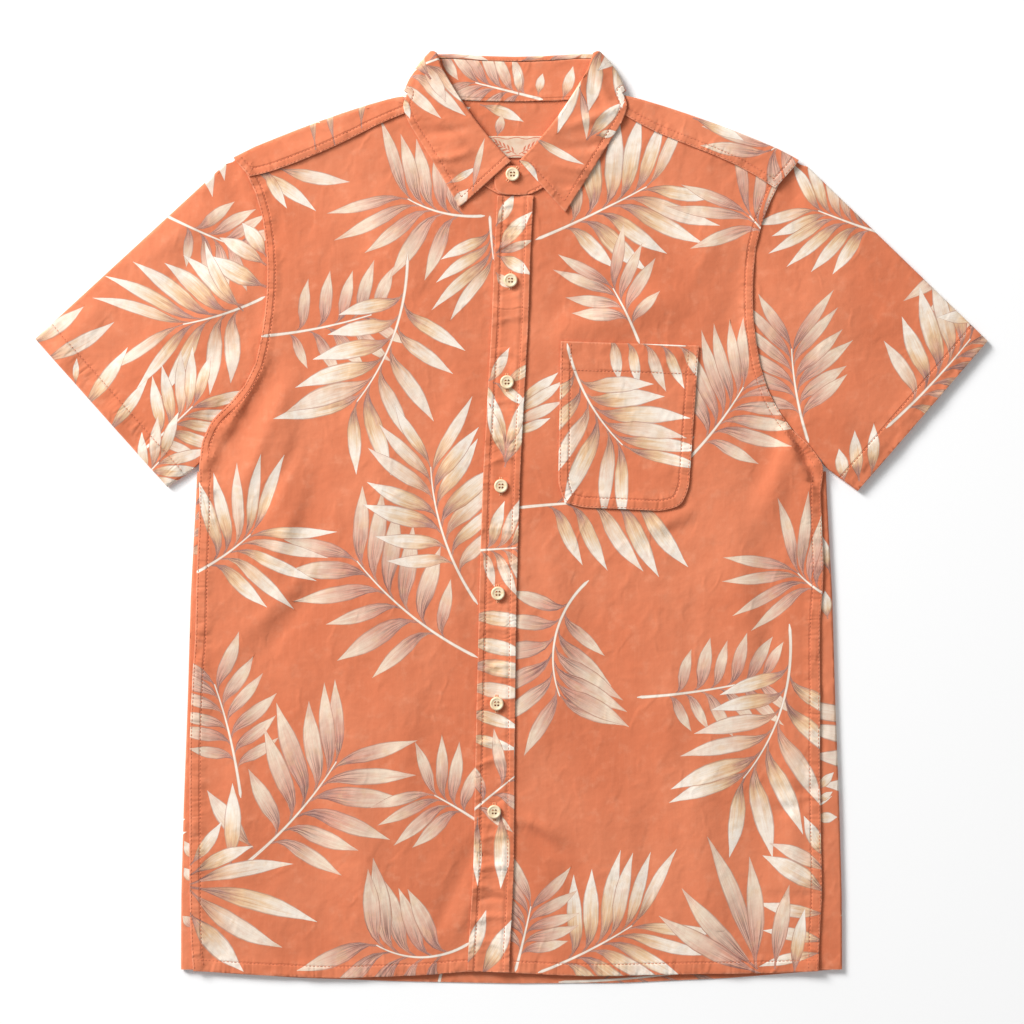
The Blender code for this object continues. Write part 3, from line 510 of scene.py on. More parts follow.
class Blade:
    """One leaflet or stem: a bent centre line, its half widths, its kind and a number of its own."""

    def __init__(self, spine, halves, kind, seed):
        self.spine, self.halves = np.array(spine), np.array(halves)
        self.kind, self.seed = kind, seed
        steps = np.diff(self.spine, axis=0)
        ways = steps / np.hypot(*steps.T)[:, None]
        at_points = np.vstack([ways[:1], (ways[:-1] + ways[1:]) / 2, ways[-1:]])
        self.square = np.column_stack([-at_points[:, 1], at_points[:, 0]])
        self.square /= np.hypot(*self.square.T)[:, None]

    def outline(self):
        left = self.spine + self.square * self.halves[:, None]
        right = self.spine - self.square * self.halves[:, None]
        if self.halves[0] < POINTED:
            left = left[1:]
        if self.halves[-1] < POINTED:
            left = left[:-1]
        return [*map(tuple, right), *map(tuple, left[::-1])]

    def coordinates(self, points):
        """How far along the blade each point is, and how far across it from -1 to 1."""
        reach = lengths_along(self.spine)
        gap, along, side = distance_to(points, self.spine)
        half = np.interp(along, reach, self.halves)
        return along / reach[-1], side * np.clip(gap / np.maximum(half, POINTED), 0, 1)


def walk(start, headings, length):
    """Points of a line that takes a step along each heading in turn."""
    points, count = [tuple(start)], len(headings)
    for heading in headings:
        x, y = points[-1]
        points.append((x + math.cos(heading) * length / count, y + math.sin(heading) * length / count))
    return points


def curve(start, heading, length, bend, count):
    """Points of a line that turns evenly by bend over its length."""
    return walk(start, [heading + bend * (index + 0.5) / count for index in range(count)], length)


def arc(foot, end, bend):
    """The heading at its start and the length of an arc that turns by bend from foot to end."""
    length = math.dist(foot, end) * (bend / 2 / math.sin(bend / 2) if bend else 1.0)
    return math.atan2(end[1] - foot[1], end[0] - foot[0]) - bend / 2, length


def leaflet(base, way, side, opening, size, bend):
    """A leaflet's centre line: it leaves close to the stem, opens out and then bends."""
    opening, bend = math.radians(opening), math.radians(bend)
    headings = []
    for step in range(LEAFLET_STEPS):
        share = (step + 0.5) / LEAFLET_STEPS
        opened = LEAFLET_LEAVES + LEAFLET_OPENS * min(1.0, share / LEAFLET_OPEN_BY)
        headings.append(way + side * (opening * opened - bend * share**1.4))
    return walk(base, headings, size)


def leaflet_halves(widest):
    """Half widths of a lance shape: a narrow neck, widest about the middle and a drawn out tip."""
    halves = []
    for step in range(LEAFLET_STEPS):
        share = max(0.0, step / LEAFLET_STEPS - LEAFLET_NECK) ** 0.98 / (1 - LEAFLET_NECK) ** 0.98
        body = 1.08 * math.sin(math.pi * share) ** 1.15
        halves.append(widest * max(NECK_WIDTH, min(1.0, body)))
    return [*halves, widest * TIP_WIDTH]


def frond(foot, end, bend, pairs, size, opening_low, opening_high, kind, chance):
    """The blades of one frond: leaflets on both sides of a bent stem, then the stem."""
    bend = math.radians(bend)
    heading, length = arc(foot, end, bend)
    count = 4 * pairs
    spine = curve(foot, heading, length, bend, count)
    first = BARE_STEM if pairs > 4 else BARE_SHORT_STEM
    sway = [chance.uniform(0, 16) for _ in range(2)]
    room = length * (1 - first) / (pairs - 1)
    blades = []
    for number in range(2 * pairs):
        side = 1 if number % 2 else -1
        share = first + (LAST_LEAFLET - first) * (number + chance.uniform(-0.15, 0.15)) / (2 * pairs - 1)
        share = min(LAST_LEAFLET, max(first, share))
        index = min(int(share * count), count - 1)
        base = [a + (b - a) * (share * count - index) for a, b in zip(spine[index], spine[index + 1])]
        grown = (share - first) / (1 - first)
        opening = opening_low + 8 + (opening_high - opening_low) * grown**1.3 + chance.uniform(-3, 3)
        long = size * (0.78 + 0.36 * math.sin(math.pi * (0.08 + 0.72 * grown))) * chance.uniform(0.86, 1.08)
        bent = sway[number % 2] + chance.uniform(-7, 7)
        axis = leaflet(base, heading + bend * share, side, opening, long, bent)
        width = min(WIDEST_LEAFLET, 1.7 + long * chance.uniform(0.062, 0.085))
        width = min(width, max(LEAST_WIDTH, 0.60 * room * math.sin(math.radians(opening))))
        blades.append(Blade(axis, leaflet_halves(width), kind, chance.random()))
    chance.shuffle(blades)
    if pairs > 2:
        halves = [STEM_HALF * (1.0 - STEM_TAPER * index / count) for index in range(count + 1)]
        halves[0] *= STEM_FOOT
        blades.append(Blade(spine, halves, STEM, chance.random()))
    return blades


def leaf_alone(foot, tip, bend, half, kind, chance):
    """One leaflet whose stem is out of sight."""
    bend = math.radians(bend)
    heading, length = arc(foot, tip, bend)
    spine = curve(foot, heading, length, bend, LEAFLET_STEPS)
    return Blade(spine, leaflet_halves(half), kind, chance.random())


# The neck label's woven pattern: feet and ends of its sprigs, their leaves, and the heights of its wavy lines
SPRIGS = (((6, 301), (24, 311)), ((4, 301), (-14, 311)))
SPRIG_LEAVES = 10
SPRIG_LEAF_LENGTH = 5.5
SPRIG_LEAF_HALVES = (0.12, 0.55, 0.75, 0.5, 0.02)
LABEL_WAVES = (299.4, 314.2)
WAVE_HEIGHT, WAVE_LENGTH, WAVE_HALF = 0.7, 2.6, 0.32


def sprig(foot, end):
    """A small woven sprig for the neck label."""
    heading = math.atan2(end[1] - foot[1], end[0] - foot[0])
    blades = [Blade([foot, end], [0.3, 0.2], STEM, 0.5)]
    for number in range(SPRIG_LEAVES):
        share = (number + 1.5) / (SPRIG_LEAVES + 1)
        base = tuple(a + (b - a) * share for a, b in zip(foot, end))
        side = 1 if number % 2 else -1
        turn = side * math.radians(58 - 24 * share)
        axis = curve(base, heading + turn, SPRIG_LEAF_LENGTH, -side * 0.4, len(SPRIG_LEAF_HALVES) - 1)
        blades.append(Blade(axis, SPRIG_LEAF_HALVES, PALE, 0.5))
    return blades


def label_blades():
    """What is woven into the neck label: sprigs between wavy lines."""
    blades = [blade for foot, end in SPRIGS for blade in sprig(foot, end)]
    for y in LABEL_WAVES:
        wave = [(x, y + WAVE_HEIGHT * math.sin(x / WAVE_LENGTH)) for x in np.arange(-18.0, 28.5, 1.0)]
        blades.append(Blade(wave, [WAVE_HALF] * len(wave), STEM, 0.5))
    return blades


def cut_sheet(sheet, blades, border, lines):
    """A mesh of the flat pattern, cut along every blade: points, triangles and the blade that each is on."""
    pattern = Pattern()
    pattern.outline(border)
    for line in lines:
        pattern.line(line)
    low, high = sheet.flat.min(0), sheet.flat.max(0)
    grid = GRIDS.get(sheet.name, GRID)
    for a, b in sheet.bends:
        pattern.line(between([tuple(sheet.flat[a]), tuple(sheet.flat[b])], grid))
    used = [blade for blade in blades if (blade.spine.max(0) + LEAF_MARGIN > low).all()
            and (blade.spine.min(0) - LEAF_MARGIN < high).all()]
    for blade in used:
        pattern.outline(blade.outline())
    for blade in used:
        if blade.kind != STEM:
            pattern.line(blade.spine)
    row_step = grid * math.sqrt(3) / 2
    for row in range(int((high[1] - low[1]) / row_step) + 1):
        y = low[1] + (row + 0.5) * row_step
        for column in range(int((high[0] - low[0]) / grid) + 1):
            x = low[0] + (column + 0.25 + 0.5 * (row % 2)) * grid
            if sheet.tree.find_nearest((x, y, 0), grid * 0.1)[0]:
                pattern.points.append(Vector((x, y)))
    points, _, faces, _, _, owners = delaunay_2d_cdt(pattern.points, pattern.lines, pattern.outlines, 0,
                                                     CUTS_MEET, True)
    points = np.array([point[:] for point in points])
    inside = [(face, max(names) - 1) for face, names in zip(faces, owners) if 0 in names]
    corners = np.array([face for face, _ in inside])
    names = np.unique(corners)
    lookup = np.zeros(len(points), int)
    lookup[names] = np.arange(len(names))
    return points[names], lookup[corners], np.array([blade for _, blade in inside]), used


def smoothed(place, triangles, held, rounds):
    """Heights averaged with those around them, apart from the held points."""
    a = triangles.T.ravel()
    b = triangles[:, (1, 2, 0)].T.ravel()
    count = np.bincount(a, minlength=len(place)) + np.bincount(b, minlength=len(place))
    height = place[:, 2].copy()
    for _ in range(rounds):
        total = np.bincount(a, height[b], len(place)) + np.bincount(b, height[a], len(place))
        fresh = total / np.maximum(count, 1)
        height = np.where(held, height, 0.5 * height + 0.5 * fresh)
    place = place.copy()
    place[:, 2] = height
    return place


def normals_of(place, triangles):
    a, b, c = (place[triangles[:, i]] for i in range(3))
    square = np.cross(b - a, c - a)
    found = np.zeros_like(place)
    for i in range(3):
        for axis in range(3):
            found[:, axis] += np.bincount(triangles[:, i], square[:, axis], len(place))
    size = np.linalg.norm(found, axis=1)
    return found / np.maximum(size, 1e-12)[:, None]


def lengths_along(line):
    """How far along a line each of its points is."""
    return np.concatenate([[0], np.cumsum(np.hypot(*np.diff(line, axis=0).T))])


def around(points, line, reach):
    """Which points are within reach of the box round a line."""
    return ((points > line.min(0) - reach) & (points < line.max(0) + reach)).all(1)


def distance_to(points, line, closed=False):
    """Distance, place along and side of the nearest point of a line, for each point."""
    line = np.asarray(line)
    if closed:
        line = np.vstack([line, line[:1]])
    start, step = line[:-1], np.diff(line, axis=0)
    lengths = np.hypot(*step.T)
    reach = lengths_along(line)
    gap = np.full(len(points), np.inf)
    along = np.zeros(len(points))
    side = np.zeros(len(points))
    for index in range(len(step)):
        away = points - start[index]
        share = np.clip((away @ step[index]) / max(lengths[index] ** 2, 1e-12), 0, 1)
        near = np.hypot(*(away - share[:, None] * step[index]).T)
        better = near < gap
        gap[better] = near[better]
        along[better] = reach[index] + share[better] * lengths[index]
        side[better] = (step[index, 0] * away[better, 1] - step[index, 1] * away[better, 0])
    return gap, along, np.sign(side)


# --- Creases

# Creases of the layers that face up: from x, y, by way of x, y, to x, y, half width left and right of that
# line, and rise, below 0 for a trough
CREASES = (
    (-152, -50, -178, -78, -204, -112, 5, 13, -0.9),
    (-164, -40, -192, -72, -222, -98, 10, 6, 0.8),
    (-196, 128, -215, 94, -246, 40, 9, 4, -2.0),
    (-204, 124, -224, 88, -252, 44, 4, 5, 0.8),
    (-184, 112, -202, 72, -228, 14, 8, 7, 1.1),
    (-176, 66, -190, 30, -214, -6, 5, 8, -1.0),
    (-168, 40, -180, -8, -204, -44, 7, 6, 0.8),
    (-186, 112, -196, 40, -190, -40, 10, 16, 0.8),
    (-170, 96, -160, 20, -176, -60, 14, 10, -0.7),
    (-130, 262, -98, 232, -70, 186, 10, 18, 1.0),
    (-150, 240, -118, 200, -104, 150, 16, 10, -0.7),
    (-200, 232, -168, 214, -140, 176, 12, 9, 0.7),
    (-29, -274, -45, -302, -60, -340, 3, 6, -1.9),
    (-26, -300, -38, -324, -50, -352, 5, 5, 0.6),
    (-50, -268, -64, -296, -86, -332, 10, 9, 0.25),
    (62, 288, 84, 284, 112, 280, 6, 8, -1.1),
    (6, -257, 22, -264, 40, -280, 4, 5, -2.2),
    (8, -248, 26, -255, 46, -268, 5, 5, 1.0),
    (214, -240, 226, -244, 240, -238, 4, 5, -1.3),
    (208, -222, 232, -228, 254, -224, 3, 4, -0.7),
    (210, -312, 226, -315, 250, -312, 2.5, 3, -0.5),
    (112, -14, 130, -4, 152, 8, 5, 7, 0.9),
    (106, -22, 126, -14, 150, -4, 6, 7, -0.6),
    (-234, 288, -230, 272, -222, 256, 5, 8, -1.0),
    (-226, 292, -216, 274, -210, 256, 6, 6, 0.7),
    (232, 285, 236, 270, 232, 252, 6, 6, -0.9),
    (-140, -200, -132, -262, -118, -330, 16, 12, 0.9),
    (-166, -210, -164, -280, -150, -352, 9, 13, -0.7),
    (-226, -160, -232, -240, -222, -330, 12, 9, 0.8),
    (-60, 130, -72, 40, -80, -60, 12, 18, -0.7),
    (-48, 90, -54, 0, -46, -90, 9, 7, 0.7),
    (-104, 60, -120, -10, -112, -90, 14, 18, 0.6),
    (-96, -120, -84, -190, -92, -250, 12, 16, 0.6),
    (-240, 20, -214, -10, -196, -50, 8, 12, 0.7),
    (-250, -120, -238, -150, -232, -200, 8, 8, -0.6),
    (30, -268, 50, -300, 74, -338, 9, 14, -1.2),
    (22, -240, 36, -280, 50, -318, 8, 8, 0.8),
    (34, 150, 84, 168, 134, 178, 10, 14, 1.0),
    (30, 168, 74, 190, 124, 198, 8, 12, -0.7),
    (66, 262, 92, 246, 122, 214, 9, 14, 1.1),
    (88, 270, 118, 252, 146, 226, 8, 10, -0.7),
    (238, 78, 226, 44, 212, 2, 10, 14, 1.3),
    (226, 84, 212, 46, 196, 10, 8, 11, -1.1),
    (246, 56, 244, 10, 234, -40, 8, 10, 0.8),
    (178, 20, 192, -50, 196, -130, 14, 18, 0.8),
    (208, -10, 216, -90, 208, -160, 9, 12, -0.7),
    (60, -60, 80, -130, 92, -210, 16, 12, -0.7),
    (30, -20, 42, -90, 44, -160, 9, 9, 0.7),
    (122, -70, 136, -140, 130, -210, 14, 16, 0.6),
    (150, -230, 162, -290, 168, -346, 12, 16, 0.9),
    (196, -210, 206, -270, 200, -340, 9, 12, -0.6),
    (112, -250, 112, -300, 120, -350, 9, 9, -0.6),
    (176, 252, 166, 226, 148, 192, 9, 14, 0.8),
    (194, 214, 182, 180, 178, 140, 8, 10, -0.6),
    (226, -140, 236, -230, 230, -320, 10, 8, 0.7),
    (-232, 262, -266, 240, -304, 214, 8, 14, 1.0),
    (-222, 240, -262, 214, -300, 180, 10, 8, -0.8),
    (-214, 190, -246, 170, -286, 150, 9, 12, 0.8),
    (-222, 150, -256, 128, -288, 100, 8, 11, -0.7),
    (-238, 104, -262, 88, -292, 64, 8, 10, 0.8),
    (-300, 158, -326, 140, -352, 118, 11, 9, -0.6),
    (-330, 184, -352, 164, -372, 138, 9, 9, 0.6),
    (234, 262, 268, 240, 306, 210, 14, 8, 1.0),
    (224, 238, 262, 212, 302, 176, 8, 10, -0.8),
    (216, 190, 250, 168, 288, 146, 12, 9, 0.8),
    (224, 146, 256, 124, 290, 96, 11, 8, -0.7),
    (242, 100, 264, 84, 292, 58, 10, 8, 0.8),
    (300, 158, 328, 138, 352, 116, 9, 11, -0.6),
    (-240, 86, -230, 84, -218, 80, 3.0, 3.4, -0.2),
    (-244, 75, -234, 74, -222, 71, 3.0, 3.4, 0.3),
    (-250, 63, -240, 61, -226, 60, 2.8, 3.4, -0.25),
    (-254, 51, -243, 50, -232, 46, 3.0, 3.2, 0.35),
    (-258, 38, -248, 36, -238, 37, 2.6, 3.0, -0.4),
    (-258, 27, -250, 25, -242, 22, 2.6, 3.0, 0.5),
    (220, 88, 232, 56, 252, 18, 4, 8, 1.2),
    (228, 84, 240, 54, 256, 20, 4, 4, -1.3),
    (240, 84, 230, 83, 219, 78, 2.8, 3.2, -0.3),
    (245, 71, 234, 70, 222, 72, 2.8, 3.0, 0.4),
    (252, 58, 241, 55, 229, 56, 2.8, 3.0, -0.3),
    (258, 44, 248, 43, 236, 39, 2.8, 3.0, 0.4),
    (258, 30, 249, 28, 240, 30, 2.2, 2.6, -0.7),
    (-88, 346, -62, 334, -34, 302, 3, 5, 1.5),
    (-82, 322, -62, 316, -36, 322, 3, 4, -1.3),
    (-74, 300, -54, 292, -32, 304, 3, 3, 1.3),
    (-66, 290, -50, 280, -34, 282, 3, 3, -0.9),
    (-66, 376, -58, 360, -40, 344, 4, 3, -1.1),
    (-78, 366, -66, 352, -48, 336, 3, 4, 0.9),
    (92, 340, 66, 330, 38, 320, 4, 4, 1.4),
    (84, 314, 60, 302, 34, 306, 3, 4, -1.2),
    (76, 290, 54, 284, 32, 294, 3, 3, 1.1),
    (66, 276, 50, 272, 36, 278, 3, 3, -0.8),
    (58, 378, 62, 360, 76, 340, 3, 4, -1.1),
    (70, 372, 74, 352, 86, 336, 4, 3, 0.8),
    (-196, 300, -160, 306, -128, 322, 7, 9, 0.6),
    (190, 296, 156, 304, 124, 320, 7, 9, 0.6),
)
# Creases of the layers that face the table, which only rise off it
UNDER_CREASES = (
    (-220, 150, -120, 60, -40, -60, 14, 10, 0.5),
    (210, 130, 130, 40, 60, -90, 10, 14, 0.5),
    (-180, -60, -120, -180, -90, -330, 12, 16, 0.45),
    (170, -80, 140, -200, 120, -320, 16, 10, 0.45),
    (-30, 200, -20, 60, 10, -40, 12, 12, 0.45),
    (-240, -120, -226, -220, -238, -330, 9, 12, 0.4),
    (236, -90, 240, -200, 228, -320, 12, 9, 0.4),
    (30, -160, 50, -240, 40, -340, 10, 13, 0.45),
    (-60, 230, -130, 180, -190, 60, 12, 9, 0.4),
    (90, 236, 130, 170, 190, 40, 9, 12, 0.4),
    (-250, 220, -300, 190, -340, 150, 9, 12, 0.45),
    (250, 216, 300, 180, 344, 146, 12, 9, 0.45),
    (-250, 110, -290, 90, -320, 60, 9, 9, 0.4),
    (250, 108, 290, 84, 320, 58, 9, 9, 0.4),
)
ACROSS_STRENGTH = 3.4
# Short creases across the placket, from x, y, to x, y, with half width and rise
ACROSS_CREASES = (
    (-32, -254, -2, -258, 2.2, 0.32),
    (-30, -268, -1, -264, 2.6, 0.42),
    (-33, -279, -4, -286, 2.4, -0.36),
    (-31, -293, -2, -289, 2.8, 0.46),
    (-34, -304, -6, -312, 2.4, 0.40),
    (-30, -318, -4, -316, 2.2, -0.32),
    (-33, -336, -3, -330, 2.8, 0.40),
    (-34, -350, -8, -356, 2.2, 0.30),
    (-30, -206, 0, -200, 2.4, 0.32),
    (-29, -186, 1, -190, 2.0, 0.26),
    (-27, -128, 3, -122, 2.4, 0.34),
    (-28, -112, 2, -117, 2.2, -0.28),
    (-26, -92, 4, -96, 2.2, 0.30),
    (-24, -44, 5, -38, 2.4, 0.34),
    (-23, -8, 6, -14, 2.2, 0.26),
    (-21, 44, 8, 50, 2.4, 0.34),
    (-20, 66, 9, 61, 2.2, 0.28),
    (-19, 92, 10, 98, 2.2, 0.30),
    (-17, 138, 11, 132, 2.4, 0.32),
    (-16, 160, 12, 166, 2.2, 0.26),
    (-14, 222, 14, 228, 2.4, 0.34),
    (-13, 244, 14, 238, 2.2, 0.30),
    (-12, 256, 15, 260, 2.0, 0.30),
)
CREASE_STRENGTH = 2.0
CREASE_POINTS = 9
# How many of its half widths a crease still counts at
CREASE_REACH = 3
# Unevenness of the cloth: how long its waves are and how high, and how much longer they are along the shirt
RIPPLE = ((46.0, 0.9), (19.0, 0.50), (9.0, 0.22))
RIPPLE_LENGTH = 1.7
UNDER_RIPPLE = 0.4
# How much of the creases each piece takes: stiffer pieces less, and all of them less by their edges
UP_SHARE = {"collar_leaf": 0.85, "collar_stand": 0.35, "neck_label": 0.4, "yoke_inner": 0.6}
EDGE_SHARE = 0.7
EDGE_FADE = 6.0
# A trough goes no deeper than this, and no further than this share of the way to this height off the table
DEEPEST = 1.8
TROUGH_SHARE = 0.5
TROUGH_FLOOR = 0.9
# Outline of the turned-down collar, where what lies under it stays flatter, and the buttons, which hold the
# cloth level round them
UNDER_COLLAR = ((-98, 352), (-44, 252), (0, 290), (44, 249), (99, 352))
COLLAR_FADE = 20.0
CALMEST = 0.2
BUTTON_FADE = 15.0
UNDER_MOST = 0.55
# Creases come in between these two facings
FLAT_FACING = 0.90
LEVEL_FACING = 0.98


def crease_rise(points, creases):
    """How far the creases lift or lower the cloth at flat points."""
    rise = np.zeros(len(points))
    for x0, y0, x1, y1, x2, y2, wide_left, wide_right, height in creases:
        line = np.array([((1 - t) ** 2 * x0 + 2 * t * (1 - t) * x1 + t * t * x2,
                          (1 - t) ** 2 * y0 + 2 * t * (1 - t) * y1 + t * t * y2)
                         for t in np.linspace(0, 1, CREASE_POINTS)])
        near = around(points, line, CREASE_REACH * max(wide_left, wide_right))
        if not near.any():
            continue
        gap, along, side = distance_to(points[near], line)
        share = along / lengths_along(line)[-1]
        fade = np.sin(np.pi * (0.06 + 0.88 * share)) ** 0.8
        wide = np.where(side > 0, wide_left, wide_right)
        rise[near] += CREASE_STRENGTH * height * fade * np.exp(-((gap / wide) ** 2))
    return rise


def calm(points, name):
    """How much of the creases is left near the buttons and under the collar, from 0 to 1."""
    left = np.ones(len(points))
    for x, y in BUTTONS.values():
        left *= 1 - np.exp(-(((points[:, 0] - x) ** 2 + (points[:, 1] - y) ** 2) / BUTTON_FADE**2))
    if name.startswith("collar"):
        return left
    outline = np.array(UNDER_COLLAR, float)
    gap = distance_to(points, outline, closed=True)[0]
    turns = np.zeros(len(points))
    for (x0, y0), (x1, y1) in zip(outline, np.roll(outline, -1, axis=0)):
        crosses = (points[:, 1] < y0) != (points[:, 1] < y1)
        turns += crosses & (points[:, 0] < x0 + (points[:, 1] - y0) * (x1 - x0) / ((y1 - y0) or 1.0))
    gap = np.where(turns % 2 == 1, 0.0, gap)
    return left * np.clip(gap / COLLAR_FADE, CALMEST, 1)


def across_rise(points):
    """How far the short creases lift the placket at flat points."""
    rise = np.zeros(len(points))
    for x0, y0, x1, y1, wide, height in ACROSS_CREASES:
        reach = CREASE_REACH * wide
        near = (points[:, 1] > min(y0, y1) - reach) & (points[:, 1] < max(y0, y1) + reach)
        gap, along, _ = distance_to(points[near], [(x0, y0), ((x0 + x1) / 2, (y0 + y1) / 2 + wide), (x1, y1)])
        fade = np.sin(np.pi * np.clip(along / math.dist((x0, y0), (x1, y1)), 0.05, 0.95)) ** 0.6
        rise[near] += ACROSS_STRENGTH * height * fade * np.exp(-((gap / wide) ** 2))
    return rise


def ripple(points, seed):
    """Slight unevenness of cloth that has been worn and pressed."""
    found = np.zeros(len(points))
    for size, height in RIPPLE:
        found += [height * noise.noise((x / size, y / (size * RIPPLE_LENGTH), seed + size))
                  for x, y in points]
    return found


# --- Seams

# Piece: the corners that the sewn edge runs by, how far in its band reaches, how much thicker that is, how
# strongly it puckers, and the distances of its rows of stitches from the edge
SEAMS = {
    "front_right": (
        (((-263.5, -375.4), (-2, -377)), 10.0, 0.35, 0.7, (9.5,)),
        (((-263.5, -375.4), (-258.6, 43)), 9.0, 0.35, 0.9, (1.2, 8.4)),
        (((-258.6, 43), (-220.5, 287)), 7.0, 0.30, 1.0, (1.2, 6.4)),
    ),
    "front_left": (
        (((254, -375.5), (-10, -377)), 10.0, 0.35, 0.7, (9.5,)),
        (((254, -375.5), (258.6, 43)), 9.0, 0.35, 0.9, (1.2, 8.4)),
        (((258.6, 43), (223.5, 280)), 7.0, 0.30, 1.0, (1.2, 6.4)),
    ),
    "placket": (
        (((-36.6, -376.4), (-14, 266.5)), 5.4, 0.18, 0.7, (5.4,)),
        (((-2, -376.4), (18, 266.5)), 5.4, 0.18, 0.7, (5.4,)),
    ),
    "pocket": (
        (((40.8, 145.9), (155.1, 142.3)), 24.0, 0.35, 0.5, (23.4,)),
        (((40.8, 145.9), (39, 40), (72, 7), (118, 7), (148, 40), (155.1, 142.3)), 8.8, 0.25, 0.9, (1.4, 8.4)),
    ),
    "sleeve_right": (
        (((-286, 24), (-507, 271)), 19.0, 0.35, 1.2, (18.4,)),
    ),
    "sleeve_left": (
        (((287, 21), (516, 270)), 19.0, 0.35, 1.1, (18.4,)),
    ),
    "yoke": (
        (((-211, 250), (212, 250)), 6.0, 0.3, 0.5, (1.2, 6.0)),
        (((-233, 308), (-87, 356)), 6.0, 0.3, 0.8, (1.2, 6.0)),
        (((241, 302), (93, 358)), 6.0, 0.3, 0.8, (1.2, 6.0)),
    ),
    "collar_leaf": (
        (((175, 419), (210, 374)), 6.0, 0.25, 0.5, (5.6,)),
        (((210, 374), (3, 322)), 6.0, 0.25, 0.5, (5.6,)),
        (((3, 322), (-202, 373)), 6.0, 0.25, 0.5, (5.6,)),
        (((-202, 373), (-170, 422)), 6.0, 0.25, 0.5, (5.6,)),
    ),
    "collar_stand": (
        (((-193, 357), (3, 344)), 2.4, 0.2, 0.6, (2.0,)),
        (((3, 344), (198, 358)), 2.4, 0.2, 0.6, (2.0,)),
    ),
    "neck_label": (
        (((-20, 298), (-20, 316)), 1.6, 0.0, 0.2, (1.6,)),
        (((30, 298), (30, 316)), 1.6, 0.0, 0.2, (1.6,)),
    ),
}
# The mesh is cut along lines this far from each row of stitches, with points this far apart, but not along
# the very edge
PUCKER_ROWS = (-4.5, -1.5, 0.0, 1.5, 4.5)
SEAM_SPACING = 2.4
NEAREST_ROW = 0.6
PUCKER_LENGTH = 8.0
PUCKER_RISE = 0.7
PUCKER_FADE = 6.0
# The step down from a seam's thickness, and the groove that a row of stitches lies in
BAND_SLOPE = 1.2
GROOVE_DEPTH = 0.22
GROOVE_HALF = 0.9
# Pieces whose rows of stitches turn at the corners, and how much the rows of the others are short of the ends
CORNERED = {"collar_leaf"}
ROW_TRIM = 1.0
# Where two seams are about as near, their fine puckers are left out and then come back over this distance
SEAM_HANDOVER = 6.0
FAR_FROM_SEAMS = 100.0
# Puckers of the placket run on from one row of stitches to the other, and waver on the way: by how much, and
# over which distances across and along
PLACKET_REACH = 0.40
PLACKET_WAVER = 7.0
WAVER_ACROSS, WAVER_ALONG = 13.0, 30.0


class Seam:
    """One sewn edge of a piece, in its flat pattern."""

    def __init__(self, line, band, thicker, pucker, rows, seed):
        self.line, self.band, self.thicker = np.asarray(line), band, thicker
        self.pucker, self.rows, self.seed = pucker, rows, seed

    def inside(self, distance, ends=0.0):
        """The line moved into the cloth, which lies on its left, and shortened at both ends."""
        points = np.array(between([tuple(point) for point in self.line], SEAM_SPACING))
        ways = np.gradient(points, axis=0)
        for _ in range(2):
            ways[1:-1] = (ways[:-2] + ways[1:-1] + ways[2:]) / 3
        square = np.column_stack([-ways[:, 1], ways[:, 0]])
        square /= np.hypot(*square.T)[:, None]
        moved = points + square * distance
        reach = lengths_along(moved)
        kept = (reach >= ends) & (reach <= reach[-1] - ends)
        return moved[kept]

    def rise(self, points):
        """How far the seam's thickness and puckers lift the cloth at flat points."""
        found = np.zeros(len(points))
        near = around(points, self.line, self.band + 3 * PUCKER_FADE)
        if not near.any():
            return found
        gap, along, _ = distance_to(points[near], self.line)
        lift = self.thicker * (1 - np.clip((gap - self.band + BAND_SLOPE / 2) / BAND_SLOPE, 0, 1))
        for row in self.rows:
            lift -= GROOVE_DEPTH * np.exp(-(((gap - row) / GROOVE_HALF) ** 2))
        away = np.abs(gap - self.rows[-1] * 0.6)
        waves = np.array([noise.noise((spot / PUCKER_LENGTH, self.seed, 0.37)) for spot in along])
        slant = np.array([noise.noise(((spot + 0.5 * depth) / (2.3 * PUCKER_LENGTH), self.seed + 9.0,
                                       depth / 30)) for spot, depth in zip(along, gap)])
        lift += self.pucker * PUCKER_RISE * (waves * np.exp(-((away / PUCKER_FADE) ** 2))
                                             + 1.3 * slant * np.exp(-((away / (2.4 * PUCKER_FADE)) ** 2)))
        found[near] = lift
        return found


def edge_between(border, start, end):
    """The shorter way along a closed border between the points nearest to these two, cloth on its left."""
    border = np.asarray(border)
    first = int(np.hypot(*(border - start).T).argmin())
    last = int(np.hypot(*(border - end).T).argmin())
    count = len(border)
    ways = []
    for a, b in ((first, last), (last, first)):
        way = border[[(a + step) % count for step in range((b - a) % count + 1)]]
        ways.append((lengths_along(way)[-1], way))
    return min(ways, key=lambda found: found[0])[1]


def edge_along(border, corners):
    """The way along a closed border by these points."""
    ways = [edge_between(border, start, end) for start, end in zip(corners, corners[1:])]
    return np.vstack([way[:-1] for way in ways[:-1]] + [ways[-1]])


# --- Making the cloth

LABEL_NODE = "neck_label"
BORDER_SPACING = 3.0
# Points nearer to the edge than this keep their height
ON_EDGE = 0.5


